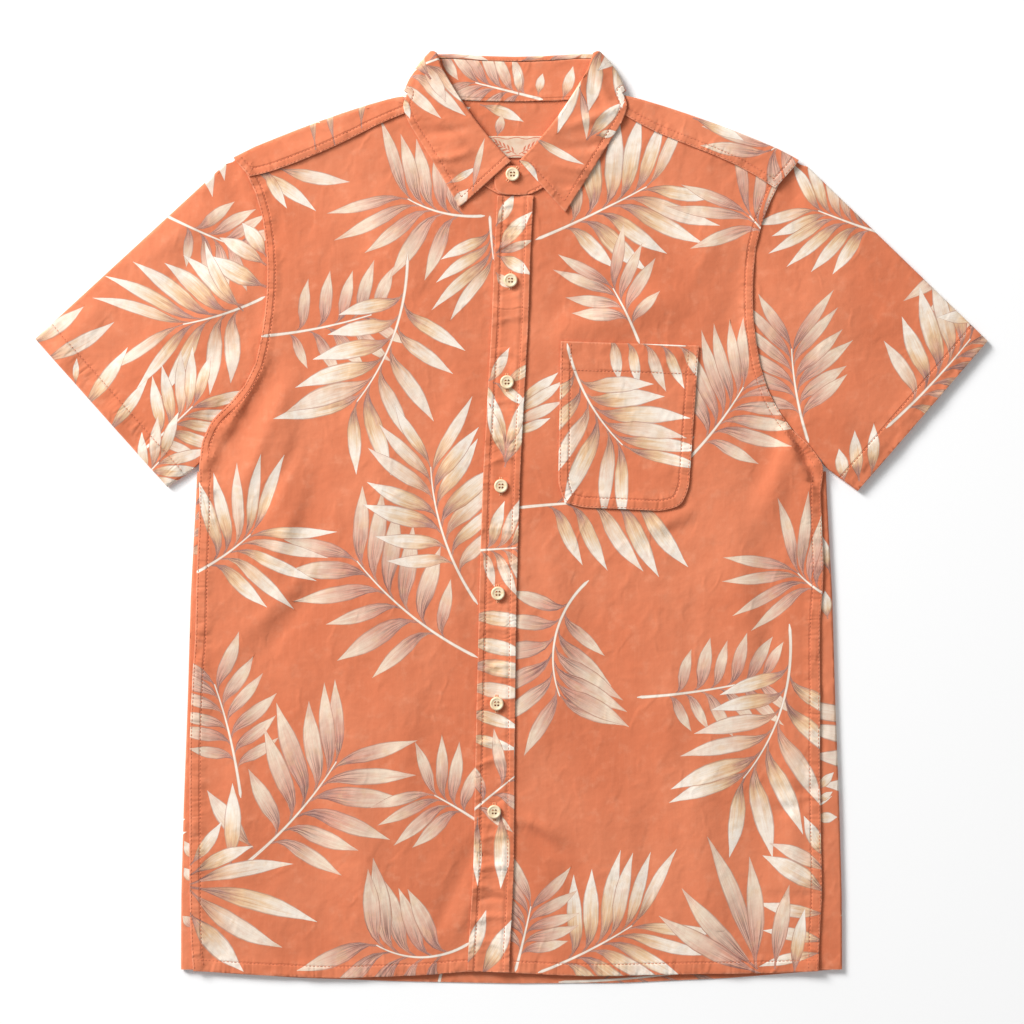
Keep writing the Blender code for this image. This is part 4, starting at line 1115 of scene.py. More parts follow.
def blades_for(sheet, chance):
    """The listed fronds and leaflets of a piece, and fronds strewn over its parts that are out of sight."""
    blades, feet = [], []
    for x0, y0, x1, y1, bend, pairs, size, low, high, kind in FRONDS.get(sheet.name, ()):
        foot, end = sheet.pattern_at(x0, y0), sheet.pattern_at(x1, y1)
        blades += frond(foot, end, bend, pairs, size, low, high, kind, chance)
        feet += [foot, end, tuple((a + b) / 2 for a, b in zip(foot, end))]
    for x0, y0, x1, y1, bend, half, kind in LEAVES.get(sheet.name, ()):
        foot, tip = sheet.pattern_at(x0, y0), sheet.pattern_at(x1, y1)
        blades.append(leaf_alone(foot, tip, bend, half, kind, chance))
    for x0, y0, x1, y1, bend, half, kind in LEAVES_BELOW.get(sheet.name, ()):
        blades.append(leaf_alone((x0, y0), (x1, y1), bend, half, kind, chance))
    if sheet.name in STREWN:
        blades = strewn(sheet, feet, STREWN[sheet.name], chance) + blades
    return blades


def strewn(sheet, feet, spacing, chance):
    """Fronds strewn over the parts of a pattern that face down, apart from each other and the listed ones."""
    blades, middles = [], []
    low, high = sheet.flat.min(0), sheet.flat.max(0)
    for row in range(int((high[1] - low[1]) / spacing) + 2):
        for column in range(int((high[0] - low[0]) / spacing) + 2):
            x = low[0] + (column + 0.5 * (row % 2) + chance.uniform(-0.2, 0.2)) * spacing
            y = low[1] + (row + chance.uniform(-0.2, 0.2)) * spacing
            if any(math.dist((x, y), foot) < STREWN_FROM_LISTED * spacing for foot in feet):
                continue
            for _ in range(STREWN_TRIES):
                heading = math.radians(chance.uniform(0, 360))
                length = spacing * chance.uniform(0.85, 1.2)
                middle, end, ahead = ((x + share * length * math.cos(heading),
                                       y + share * length * math.sin(heading)) for share in STREWN_SPOTS)
                if any(sheet.faces_up(*spot) for spot in ((x, y), end, ahead)):
                    continue
                if any(math.dist(middle, other) < STREWN_APART * spacing for other in middles):
                    continue
                kind = chance.choice((PALE, PALE, DUSKY))
                middles.append(middle)
                blades += frond((x, y), end, chance.uniform(-40, 40), chance.choice((5, 6)),
                                spacing * chance.uniform(0.56, 0.70), 60, 34, kind, chance)
                break
    return blades


class Cloth:
    """A finished piece of cloth: its mesh, its seams and its surface for what is sewn to it."""

    def __init__(self, sheet):
        self.sheet, name = sheet, sheet.name
        blades = label_blades() if name == LABEL_NODE else blades_for(sheet, random.Random(name))
        edge = [tuple(sheet.flat[index]) for index in sheet.loop]
        border = rounded(between(edge, BORDER_SPACING, closed=True))
        self.seams = [Seam(edge_along(border, corners), band, thicker, pucker, rows, 3.1 * number)
                      for number, (corners, band, thicker, pucker, rows) in enumerate(SEAMS.get(name, ()))]
        lines = [seam.inside(row + step, self.trim(row)) for seam in self.seams for row in seam.rows
                 for step in PUCKER_ROWS if row + step > NEAREST_ROW]
        points, triangles, owner, used = cut_sheet(sheet, blades, border, lines)
        place = sheet.at(points)
        edge_gap = distance_to(points, border, closed=True)[0]
        if sheet.turned:
            triangles = triangles[:, ::-1]
        facing = normals_of(place, triangles)[:, 2]
        held = (edge_gap < ON_EDGE) | (np.abs(facing) < SMOOTH_FACING)
        place = smoothed(place, triangles, held, SMOOTHING)
        self.points, self.triangles = points, triangles
        self.place = place + self.lift(place, normals_of(place, triangles), edge_gap)
        self.tree = BVHTree.FromPolygons([(x, y, 0) for x, y in points], triangles.tolist())
        self.piece = self.build(name, owner, used, edge_gap)

    def seam_places(self):
        """For each point: how far along the nearest seam, how far beyond its last row of stitches, and how
        clearly that seam is the nearest."""
        count = len(self.points)
        along, beyond, strength = np.zeros(count), np.full(count, FAR_FROM_SEAMS), np.zeros(count)
        first, second = np.full(count, FAR_FROM_SEAMS), np.full(count, 2 * FAR_FROM_SEAMS)
        for seam in self.seams:
            gap, reach, _ = distance_to(self.points, seam.line)
            nearer = gap < first
            second = np.where(nearer, first, np.minimum(second, gap))
            first = np.where(nearer, gap, first)
            along[nearer] = reach[nearer]
            beyond[nearer] = gap[nearer] - seam.rows[-1]
            strength[nearer] = 0.5 + 0.6 * seam.pucker
        clear = np.clip((second - first - SEAM_HANDOVER) / SEAM_HANDOVER, 0, 1) * strength
        if self.sheet.name == "placket":
            waver = np.array([noise.noise((x / WAVER_ACROSS, y / WAVER_ALONG, 4.0)) for x, y in self.points])
            along = self.points[:, 1] - self.points[:, 1].min() + PLACKET_WAVER * waver
            clear = np.ones(count)
            beyond = np.where(beyond > 0, beyond * PLACKET_REACH, beyond)
        return np.column_stack([along, beyond]), clear

    def trim(self, row):
        """How much shorter a row of stitches is than its edge at each end."""
        return row if self.sheet.name in CORNERED else ROW_TRIM

    def lift(self, place, normals, edge_gap):
        """How far creases, unevenness and seams move each point, and which way."""
        seen = place[:, :2]
        facing = normals[:, 2]
        level = np.clip((np.abs(facing) - FLAT_FACING) / (LEVEL_FACING - FLAT_FACING), 0, 1)
        quiet = calm(seen, self.sheet.name)
        up = (crease_rise(seen, CREASES) + ripple(seen, 2.0)) * quiet
        down = np.clip(crease_rise(seen, UNDER_CREASES) + UNDER_RIPPLE * ripple(seen, 7.0), 0, UNDER_MOST)
        sewn = sum((seam.rise(self.points) for seam in self.seams), np.zeros(len(seen)))
        if self.sheet.name == "placket":
            sewn += across_rise(seen) * quiet
        most = np.clip(TROUGH_SHARE * (place[:, 2] - TROUGH_FLOOR), 0.02, DEEPEST)
        up = np.where(up < 0, -most * np.tanh(-up / most), up)
        upper = up * UP_SHARE.get(self.sheet.name, 1.0) * np.clip(edge_gap / EDGE_FADE, EDGE_SHARE, 1)
        shift = np.zeros_like(place)
        shift[:, 2] = np.where(facing > 0, upper, down) * level
        return shift + normals * (sewn * level * (facing > 0))[:, None]

    def build(self, name, owner, used, edge_gap):
        """The piece itself, with the blade, seam and edge of each spot written on its mesh."""
        mesh = bpy.data.meshes.new(name)
        mesh.from_pydata((self.place * MM).tolist(), [], self.triangles.tolist())
        leaf_map = np.zeros((len(self.triangles), 3, 2), np.float32)
        kinds = np.zeros(len(self.triangles), np.float32)
        seeds = np.zeros(len(self.triangles), np.float32)
        for number in np.unique(owner[owner >= 0]):
            blade = used[number]
            mine = np.flatnonzero(owner == number)
            corners, back = np.unique(self.triangles[mine], return_inverse=True)
            along, across = blade.coordinates(self.points[corners])
            leaf_map[mine, :, 0] = along[back].reshape(-1, 3)
            leaf_map[mine, :, 1] = across[back].reshape(-1, 3)
            kinds[mine], seeds[mine] = blade.kind, blade.seed
        flat = (self.points[self.triangles] * MM).astype(np.float32)
        seam_places, clear = self.seam_places()
        seam_map = (seam_places[self.triangles] * MM).astype(np.float32)
        for title, values in (("cloth", flat), ("leaf", leaf_map), ("seam", seam_map)):
            mesh.uv_layers.new(name=title).data.foreach_set("uv", values.ravel())
        for title, values in (("print_kind", kinds), ("print_seed", seeds)):
            mesh.attributes.new(title, "FLOAT", "FACE").data.foreach_set("value", values)
        for title, values in (("edge_gap", edge_gap), ("seam_clear", clear)):
            mesh.attributes.new(title, "FLOAT", "POINT").data.foreach_set("value", values.astype(np.float32))
        mesh.shade_smooth()
        piece = link(bpy.data.objects.new(name + "_cloth", mesh))
        wall = piece.modifiers.new("cloth", "SOLIDIFY")
        wall.thickness, wall.offset = CLOTH * MM, -1.0
        evened = piece.modifiers.new("normals", "WEIGHTED_NORMAL")
        evened.mode, evened.keep_sharp = "FACE_AREA", False
        return piece

    def surface(self, points):
        """Places on the finished cloth, and the directions square to it there, for points of the pattern."""
        places, squares = [], []
        for x, y in points:
            near, _, index, _ = self.tree.find_nearest((x, y, 0))
            flat, laid = corners_of(self.triangles[index], self.points, self.place)
            places.append(barycentric_transform(near, *flat, *laid))
            squares.append((laid[1] - laid[0]).cross(laid[2] - laid[0]).normalized())
        return places, squares


# --- Sewing thread

STITCH_LENGTH = 2.3
STITCH_GAP = 0.8
THREAD_HALF = 0.24
THREAD_SIDES = 5
# A stitch's rings: the share of its length, the rise in half widths of its thread, and the share of its width
STITCH_RINGS = ((0.0, -0.9, 0.5), (0.14, 0.25, 1.0), (0.5, 0.7, 1.0), (0.86, 0.25, 1.0), (1.0, -0.9, 0.5))


def stitch_shape(start, end, square, half):
    """Points and faces of one stitch: a short thread that rises out of the cloth and goes back in."""
    along = (end - start).normalized()
    aside = along.cross(square).normalized()
    points = []
    for share, rise, width in STITCH_RINGS:
        centre = start.lerp(end, share) + square * (rise * half)
        size = half * width
        points += [centre + (aside * math.cos(turn) + square * math.sin(turn)) * size
                   for turn in (math.tau * corner / THREAD_SIDES for corner in range(THREAD_SIDES))]
    last = len(points) - THREAD_SIDES
    faces = []
    for ring in range(0, last, THREAD_SIDES):
        after = ring + THREAD_SIDES
        for a, b in zip(range(THREAD_SIDES), (*range(1, THREAD_SIDES), 0)):
            faces.append((ring + a, ring + b, after + b, after + a))
    faces += [tuple(range(THREAD_SIDES - 1, -1, -1)), tuple(range(last, len(points)))]
    return points, faces


def thread_mesh(name, stitches, material):
    """One mesh of many stitches, each given by its ends, which way is off the cloth and its half width."""
    points, faces = [], []
    for start, end, square, half in stitches:
        more, sides = stitch_shape(start, end, square, half)
        faces += [tuple(len(points) + corner for corner in side) for side in sides]
        points += more
    mesh = bpy.data.meshes.new(name)
    mesh.from_pydata([(x * MM, y * MM, max(z, 0.02) * MM) for x, y, z in points], [], faces)
    mesh.shade_smooth()
    mesh.materials.append(material)
    return link(bpy.data.objects.new(name, mesh))


def row_of_stitches(cloth, line, chance):
    """Stitches along a line of the flat pattern."""
    reach = lengths_along(line)
    spots = np.arange(0.5, reach[-1] - STITCH_LENGTH, STITCH_LENGTH + STITCH_GAP)
    ends = np.sort(np.concatenate([spots, spots + STITCH_LENGTH]))
    flat = np.column_stack([np.interp(ends, reach, line[:, axis]) for axis in (0, 1)])
    flat += [(chance.uniform(-0.12, 0.12), chance.uniform(-0.12, 0.12)) for _ in flat]
    places, squares = cloth.surface(flat)
    return [(places[i], places[i + 1], squares[i], THREAD_HALF * chance.uniform(0.9, 1.1))
            for i in range(0, len(places) - 1, 2)]


# --- Materials


class Wire:
    """A value in a shader tree, for sums and products."""

    def __init__(self, tree, socket):
        self.tree, self.socket = tree, socket

    def __add__(self, other):
        return self.tree.maths("ADD", self, other)

    def __sub__(self, other):
        return self.tree.maths("SUBTRACT", self, other)

    def __mul__(self, other):
        return self.tree.maths("MULTIPLY", self, other)

    def __gt__(self, other):
        return self.tree.maths("GREATER_THAN", self, other)

    def __abs__(self):
        return self.tree.maths("ABSOLUTE", self)


class Tree:
    """Adds shader nodes and joins them. Inputs go by name, or by number after an underscore."""

    def __init__(self, tree):
        self.tree = tree

    def give(self, node, name, value):
        socket = node.inputs[int(name[1:]) if name[0] == "_" else name]
        if isinstance(value, Wire):
            self.tree.links.new(value.socket, socket)
        else:
            socket.default_value = value

    def node(self, kind, settings=None, **inputs):
        node = self.tree.nodes.new("ShaderNode" + kind)
        for name, value in (settings or {}).items():
            setattr(node, name, value)
        for name, value in inputs.items():
            self.give(node, name, value)
        return node

    def add(self, kind, settings=None, out=0, **inputs):
        return Wire(self, self.node(kind, settings, **inputs).outputs[out])

    def maths(self, operation, a, b=0.0):
        return self.add("Math", {"operation": operation}, _0=a, _1=b)

    def vector(self, operation, a, b):
        return self.add("VectorMath", {"operation": operation}, _0=a, _1=b)

    def stretched(self, place, x, y):
        return self.vector("MULTIPLY", place, (x, y, 1.0))

    def parts(self, place):
        return [Wire(self, socket) for socket in self.node("SeparateXYZ", _0=place).outputs[:2]]

    def join(self, x, y, z=0.0):
        return self.add("CombineXYZ", _0=x, _1=y, _2=z)

    def noise(self, place, scale, detail=2.0, rough=0.5):
        return self.add("TexNoise", Vector=place, Scale=scale, Detail=detail, Roughness=rough)

    def span(self, value, low, high, to_low=0.0, to_high=1.0):
        """Value from low to high, turned smoothly into to_low to to_high."""
        return self.add("MapRange", {"interpolation_type": "SMOOTHSTEP"}, _0=value, _1=low, _2=high,
                        _3=to_low, _4=to_high)

    def mix(self, share, a, b, blend="MIX"):
        settings = {"data_type": "RGBA", "blend_type": blend, "clamp_result": False}
        return self.add("Mix", settings, 2, _0=share, _6=a, _7=b)

    def tinted(self, colour, tint, value, low, high, most):
        """A colour that takes up most of a tint where value has gone from low to high."""
        return self.mix(self.span(value, low, high, 0.0, most), colour, tint)

    def ramp(self, value, *stops):
        node = self.node("ValToRGB", _0=value)
        row = node.color_ramp.elements
        while len(row) < len(stops):
            row.new(0.5)
        for element, (place, colour) in zip(row, stops):
            element.position, element.color = place, colour
        return Wire(self, node.outputs[0])

    def bump(self, height, strength, distance, below=None):
        under = {"Normal": below} if below else {}
        return self.add("Bump", Strength=strength, Distance=distance, Height=height, **under)

    def use(self, group, **inputs):
        """A node group's outputs, by name."""
        node = self.tree.nodes.new("ShaderNodeGroup")
        node.node_tree = group
        for name, value in inputs.items():
            self.give(node, name, value)
        return {socket.name: Wire(self, socket) for socket in node.outputs}


def effect(name, inputs, outputs, draw):
    """A node group with these named sockets. Its outputs are what draw makes of its tree and its inputs."""
    made = bpy.data.node_groups.new(name, "ShaderNodeTree")
    for way, sockets in (("INPUT", inputs), ("OUTPUT", outputs)):
        for title, kind in sockets.items():
            made.interface.new_socket(title, in_out=way, socket_type="NodeSocket" + kind)
    tree = Tree(made)
    given = made.nodes.new("NodeGroupInput").outputs
    result = made.nodes.new("NodeGroupOutput")
    found = draw(tree, *(Wire(tree, given[title]) for title in inputs))
    for title, value in zip(outputs, found):
        tree.give(result, title, value)
    return made


def paint(*levels):
    """Levels of red, green and blue as they look, from 0 to 255, as a colour in the shader's own terms."""
    return (*(((level / 255 + 0.055) / 1.055) ** 2.4 for level in levels), 1.0)


CORAL = paint(229, 135, 96)
CORAL_DEEP = paint(220, 123, 84)
CORAL_PALE = paint(240, 159, 123)
CREAM = paint(250, 240, 226)
IVORY = paint(243, 224, 200)
OCHRE = paint(233, 194, 150)
TAN = paint(206, 154, 124)
ROSE = paint(217, 154, 132)
BLUSH = paint(229, 189, 166)
MAUVE = paint(182, 134, 122)
MAUVE_DEEP = paint(122, 84, 82)
LINE_BROWN = paint(168, 104, 86)
# Width of a yarn and the next gap, in metres
YARN = 0.00042
LABEL_YARN = 0.0006


def dyed_ground(tree, place, edge):
    """A little uneven at several sizes, and paler in patches within 1.6 mm of the edges."""
    broad = tree.noise(place, 9.0, 3.0)
    patchy = tree.noise(place, 75.0, 5.0, 0.62)
    warp = tree.noise(tree.stretched(place, 800.0, 22.0), 1.0)
    weft = tree.noise(tree.stretched(place, 22.0, 800.0), 1.0)
    colour = tree.tinted(CORAL_DEEP, CORAL, broad, 0.35, 0.68, 1.0)
    colour = tree.tinted(colour, CORAL_PALE, patchy, 0.50, 0.78, 0.45)
    colour = tree.tinted(colour, CORAL_DEEP, patchy, 0.46, 0.28, 0.5)
    colour = tree.tinted(colour, CORAL_PALE, warp, 0.5, 0.8, 0.10)
    colour = tree.tinted(colour, CORAL_DEEP, weft, 0.5, 0.8, 0.10)
    # Paler in patches within 1.6 mm of the edges
    worn = tree.span(edge, 0.0, 1.6, 0.7, 0.0) * tree.span(patchy, 0.3, 0.6)
    return [tree.mix(worn, colour, CORAL_PALE)]


def printed_frond(tree, leaf, kind, seed, place):
    """The colours of a leaflet or stem, from how far along and across it a point is."""
    along, across = tree.parts(leaf)
    aside, offset = abs(across), seed * 37.0

    def strokes(along_scale, across_scale):
        """Painted strokes that run along the leaflet."""
        return tree.noise(tree.join(along * along_scale, across * across_scale, offset), 2.0, 2.0, 0.62)

    patches, lines, hairs = strokes(1.5, 0.9), strokes(0.8, 3.6), strokes(1.6, 13.0)
    wash = tree.noise(place, 95.0, 3.0)
    reach = along + (patches - 0.5) * 0.62 + (lines - 0.5) * 0.45 + (seed - 0.5) * 0.2
    pale = tree.ramp(reach, (0.06, MAUVE), (0.18, TAN), (0.34, OCHRE), (0.52, IVORY), (0.70, CREAM))
    dusky = tree.ramp(reach, (0.04, MAUVE), (0.20, ROSE), (0.48, BLUSH), (0.78, IVORY), (1.0, BLUSH))
    dusk = kind > 1.5
    tint = tree.span(seed, 0.55, 0.95, 0.0, 0.55)
    colour = tree.mix(tree.maths("MAXIMUM", dusk, tint), pale, dusky)
    colour = tree.tinted(colour, OCHRE, wash, 0.50, 0.70, 0.35)
    colour = tree.tinted(colour, BLUSH, wash, 0.48, 0.30, 0.35)
    fading = tree.span(along, 0.14, dusk * 0.20 + 0.40, 1.0, 0.0)
    colour = tree.mix(tree.span(lines, 0.48, 0.58) * (fading * 0.95), colour, MAUVE_DEEP)
    bare = tree.span(lines, 0.50, 0.42) * tree.span(along, 0.03, 0.20, 0.75, 0.0)
    colour = tree.mix(bare, colour, CORAL)
    colour = tree.tinted(colour, TAN, hairs, 0.53, 0.64, 0.20)
    colour = tree.tinted(colour, CREAM, hairs, 0.45, 0.36, 0.22)
    colour = tree.tinted(colour, LINE_BROWN, aside, 0.82, 0.96, 0.62)
    stem = tree.tinted(CREAM, TAN, aside, 0.45, 0.95, 1.0)
    stem = tree.tinted(stem, BLUSH, patches, 0.52, 0.7, 0.5)
    return [tree.mix(kind > 2.5, colour, stem)]


def plain_weave(tree, place, yarn):
    """The over and under of warp and weft, with yarns of uneven thickness: its height and its shade."""
    count = tree.maths("DIVIDE", math.pi, yarn)
    waver = tree.noise(place, 40.0)
    x, y = tree.parts(place)
    over = tree.maths("SINE", x * count + waver * 3.0) * tree.maths("SINE", y * count + waver * 2.0)
    slubs = tree.noise(tree.stretched(place, 120.0, 2200.0), 1.0)
    cross = tree.noise(tree.stretched(place, 2200.0, 120.0), 1.0)
    height = over * 0.5 + (slubs * 0.6 + cross * 0.6)
    return [height, tree.span(height, 0.1, 1.1)]


def fine_creases(tree, place, edge):
    """Small soft crumples of worn cotton, too fine for the mesh."""
    bent = tree.noise(place, 22.0)
    moved = tree.vector("ADD", place, tree.join(bent * 0.03, 0.0))
    lines = tree.noise(tree.stretched(moved, 1.0, 0.7), 34.0)
    ridge = tree.span(abs(lines - 0.5), 0.0, 0.10, 1.0, 0.0)
    near = tree.span(edge, 0.0, 20.0, 0.6, 0.3)
    soft = tree.noise(place, 110.0)
    return [ridge * near + soft * 0.7]


def seam_puckers(tree, seam, clear):
    """The short gathers and the groove that a row of stitches draws the cloth into."""
    along, beyond = tree.parts(seam)
    lean = tree.noise(tree.join(along, 0.0), 30.0, 1.0)
    place = tree.join(along + beyond * (lean - 0.5), beyond * 0.16)
    puffs = tree.noise(place, 165.0, 1.0)
    cuts = tree.noise(tree.vector("ADD", place, (3.0, 1.0, 0.0)), 62.0, 1.0)
    cuts = tree.span(abs(cuts - 0.5), 0.0, 0.055, 1.0, 0.0)
    patches = tree.span(tree.noise(tree.join(along, 0.0, 2.0), 24.0, 1.0), 0.35, 0.62, 0.25, 1.0)
    reach = tree.span(beyond, 0.0, 0.007, 1.0, 0.0) * tree.span(beyond, -0.014, -0.008) * patches
    groove = tree.span(abs(beyond), 0.0, 0.0013, 0.26, 0.0)
    return [((puffs - cuts * 0.17) * reach - groove) * clear]


GROUND = effect("dyed ground", {"Place": "Vector", "Edge": "Float"}, {"Colour": "Color"}, dyed_ground)
FROND = effect("printed frond", {"Leaf": "Vector", "Kind": "Float", "Seed": "Float", "Place": "Vector"},
               {"Colour": "Color"}, printed_frond)
WEAVE = effect("plain weave", {"Place": "Vector", "Yarn": "Float"}, {"Height": "Float", "Shade": "Float"},
               plain_weave)
CRUMPLES = effect("fine creases", {"Place": "Vector", "Edge": "Float"}, {"Height": "Float"}, fine_creases)
PUCKERS = effect("seam puckers", {"Seam": "Vector", "Clear": "Float"}, {"Height": "Float"}, seam_puckers)


def new_material(name, roughness, sheen=0.0, coat=0.0):
    """A material, its tree and its Principled shader, with what is constant set on the shader itself."""
    made = bpy.data.materials.new(name)
    made.use_nodes = True
    shader = made.node_tree.nodes["Principled BSDF"]
    for title, value in (("Roughness", roughness), ("Sheen Weight", sheen), ("Sheen Roughness", 0.5),
                         ("Coat Weight", coat), ("Specular IOR Level", 0.3)):
        shader.inputs[title].default_value = value
    return made, Tree(made.node_tree), shader


def printed_cotton():
    """The shirt's cloth: dyed ground, printed fronds, weave, crumples and gathered seams."""
    made, tree, shader = new_material("printed_cotton", 0.86, sheen=0.12)
    place, leaf, seam = (tree.add("UVMap", {"uv_map": name}) for name in ("cloth", "leaf", "seam"))
    kind, seed, edge, clear = (tree.add("Attribute", {"attribute_name": name}, "Fac")
                               for name in ("print_kind", "print_seed", "edge_gap", "seam_clear"))
    ground = tree.use(GROUND, Place=place, Edge=edge)["Colour"]
    fronds = tree.use(FROND, Leaf=leaf, Kind=kind, Seed=seed, Place=place)["Colour"]
    weave = tree.use(WEAVE, Place=place, Yarn=YARN)
    colour = tree.mix(kind > 0.5, ground, fronds)
    tree.give(shader, "Base Color", tree.mix(weave["Shade"] * 0.10, colour, CORAL_DEEP, "MULTIPLY"))
    gathered = tree.bump(tree.use(PUCKERS, Seam=seam, Clear=clear)["Height"], 1.0, 0.0013)
    crumpled = tree.bump(tree.use(CRUMPLES, Place=place, Edge=edge)["Height"], 0.9, 0.0007, gathered)
    tree.give(shader, "Normal", tree.bump(weave["Height"], 0.35, 0.00008, crumpled))
    return made


def label_cloth():
    """Plain woven tape with a darker woven pattern."""
    made, tree, shader = new_material("label_cloth", 0.8, sheen=0.1)
    place = tree.add("UVMap", {"uv_map": "cloth"})
    kind = tree.add("Attribute", {"attribute_name": "print_kind"}, "Fac")
    weave = tree.use(WEAVE, Place=place, Yarn=LABEL_YARN)
    mottle = tree.noise(place, 120.0, 3.0)
    plain = tree.tinted(paint(236, 214, 190), paint(224, 192, 164), mottle, 0.35, 0.7, 1.0)
    colour = tree.mix(kind > 0.5, plain, paint(214, 128, 98))
    tree.give(shader, "Base Color", tree.mix(weave["Shade"] * 0.25, colour, TAN, "MULTIPLY"))
    tree.give(shader, "Normal", tree.bump(weave["Height"], 0.5, 0.00015))
    return made


def sewing_thread(name, light, groove_shade):
    """Twisted thread, a little worn, with painted shade: the darker colour lies in the grooves of its twist
    and the lighter one on its ridges.
    """
    made, tree, shader = new_material(name, 0.6, sheen=0.2)
    place = tree.add("TexCoord", out="Object")
    twist = tree.add("TexWave", {"bands_direction": "DIAGONAL"}, 1, Vector=place, Scale=700.0, Distortion=1.0)
    wear = tree.noise(place, 90.0)
    # Painted shade: the twist's grooves take the darker colour, where its bumps sink
    colour = tree.mix(twist, groove_shade, light)
    tree.give(shader, "Base Color", tree.tinted(colour, light, wear, 0.4, 0.7, 0.4))
    tree.give(shader, "Normal", tree.bump(twist, 0.5, 0.00008))
    return made


def button_resin():
    """Cream resin with faint swirls."""
    made, tree, shader = new_material("button_resin", 0.36, coat=0.15)
    shader.inputs["Coat Roughness"].default_value = 0.25
    place = tree.add("TexCoord", out="Object")
    swirl = tree.noise(tree.stretched(place, 1.0, 2.4), 160.0, 3.0)
    grain = tree.noise(place, 900.0)
    colour = tree.tinted(paint(240, 212, 170), paint(250, 230, 196), swirl, 0.3, 0.7, 1.0)
    tree.give(shader, "Base Color", tree.tinted(colour, paint(222, 188, 138), grain, 0.55, 0.8, 0.2))
    tree.give(shader, "Roughness", tree.span(grain, 0.3, 0.7, 0.30, 0.45))
    tree.give(shader, "Normal", tree.bump(grain, 0.15, 0.0001))
    return made


COTTON = printed_cotton()
LABEL = label_cloth()
# The second colour of each thread is painted shade for the grooves of its twist
THREAD = sewing_thread("coral_thread", paint(228, 140, 104), paint(196, 104, 70))
EDGING = sewing_thread("pale_coral_thread", paint(250, 190, 146), paint(226, 150, 108))
CREAM_THREAD = sewing_thread("cream_thread", paint(244, 226, 190), paint(214, 184, 138))
RESIN = button_resin()

# --- Buttons and buttonholes

# Profile of a button from its middle to its rim and back under
BUTTON_PROFILE = ((0.0, 1.95), (2.8, 1.95), (3.5, 2.02), (4.0, 2.28), (4.5, 2.45), (5.0, 2.42), (5.45, 2.1),
                  (5.7, 1.6), (5.6, 1.1), (5.2, 0.6), (4.6, 0.25), (3.6, 0.05), (0.0, 0.0))
BUTTON_SIDES = 48
HOLE_RADIUS = 0.9
HOLE_SPACING = 2.4
HOLE_SIDES = 20
DRILL_LENGTH = 8
SHARP_EDGE = math.radians(40)
# Threads through the holes: how many side by side, how far apart, how thick, and how far they lie inside the
# holes' middles and below the button's face
THREAD_STRANDS = 3
STRAND_SPACING = 0.22
STRAND_HALF = 0.14
STRAND_INSET = 0.15
BUTTONHOLE_LENGTH = 15.5
BUTTONHOLE_HALF = 1.5
BUTTONHOLE_THREAD = 0.23
SLIT_HALF = 0.28
BAR_LENGTH = 1.0
BAR_STITCH = 0.42


def button_piece(node):
    """A turned button with four drilled holes, on the place of its solid."""
    low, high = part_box(node)
    shape = bmesh.new()
    points = [shape.verts.new((radius * MM, 0, height * MM)) for radius, height in BUTTON_PROFILE]
    rim = [shape.edges.new((a, b)) for a, b in zip(points, points[1:])]
    bmesh.ops.spin(shape, geom=[*points, *rim], cent=(0, 0, 0), axis=(0, 0, 1), angle=math.tau,
                   steps=BUTTON_SIDES, use_merge=True)
    bmesh.ops.remove_doubles(shape, verts=shape.verts, dist=WELD)
    bmesh.ops.recalc_face_normals(shape, faces=shape.faces)
    piece = object_of(node + "_resin", shape)
    shape.free()
    piece.data.materials.append(RESIN)
    centre = (low + high) / 2
    piece.location = (centre.x, centre.y, low.z)
    drill = bmesh.new()
    for dx in (-0.5, 0.5):
        for dy in (-0.5, 0.5):
            made = bmesh.ops.create_cone(drill, cap_ends=True, segments=HOLE_SIDES, radius1=HOLE_RADIUS * MM,
                                         radius2=HOLE_RADIUS * MM, depth=DRILL_LENGTH * MM)
            bmesh.ops.translate(drill, verts=made["verts"],
                                vec=(dx * HOLE_SPACING * MM, dy * HOLE_SPACING * MM, 0))
    cutter = object_of("drill", drill)
    drill.free()
    cutter.location = piece.location
    holes = piece.modifiers.new("holes", "BOOLEAN")
    holes.object, holes.solver = cutter, "EXACT"
    bpy.context.view_layer.update()
    done = bpy.data.meshes.new_from_object(piece.evaluated_get(bpy.context.evaluated_depsgraph_get()))
    piece.modifiers.clear()
    piece.data = done
    done.shade_smooth()
    done.set_sharp_from_angle(angle=SHARP_EDGE)
    bpy.data.objects.remove(cutter)
    return piece


def button_stitches(node, chance):
    """Strands of thread through the holes: two bars side by side."""
    low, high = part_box(node)
    centre = (low + high) / (2 * MM)
    top = low.z / MM + BUTTON_PROFILE[0][1]
    strands = []
    for side in (-0.5, 0.5):
        for strand in range(THREAD_STRANDS):
            offset = (strand - (THREAD_STRANDS - 1) / 2) * STRAND_SPACING
            x = centre.x + side * (HOLE_SPACING - 2 * STRAND_INSET) + offset + chance.uniform(-0.04, 0.04)
            half = 0.5 * HOLE_SPACING - STRAND_INSET
            start = Vector((x, centre.y - half, top - STRAND_INSET))
            end = Vector((x + chance.uniform(-0.1, 0.1), centre.y + half, top - STRAND_INSET))
            strands.append((start, end, Vector((0, 0, 1)), STRAND_HALF))
    return strands


def buttonhole_stitches(cloth, x, y, across, chance):
    """Close cross stitches along both sides of a slit, and bars at its ends."""
    found = []
    count = int(BUTTONHOLE_LENGTH / BAR_STITCH)
    for number in range(count):
        along = (number + 0.5) * BAR_STITCH - BUTTONHOLE_LENGTH / 2
        inner = 0.0 if abs(along) > BUTTONHOLE_LENGTH / 2 - BAR_LENGTH else SLIT_HALF
        for side in (-1, 1):
            ends = [(side * inner, along), (side * BUTTONHOLE_HALF, along + chance.uniform(-0.12, 0.12))]
            if across:
                ends = [(b, a) for a, b in ends]
            places, squares = cloth.surface([(x + dx, y + dy) for dx, dy in ends])
            found.append((places[0], places[1], squares[0], BUTTONHOLE_THREAD))
    return found
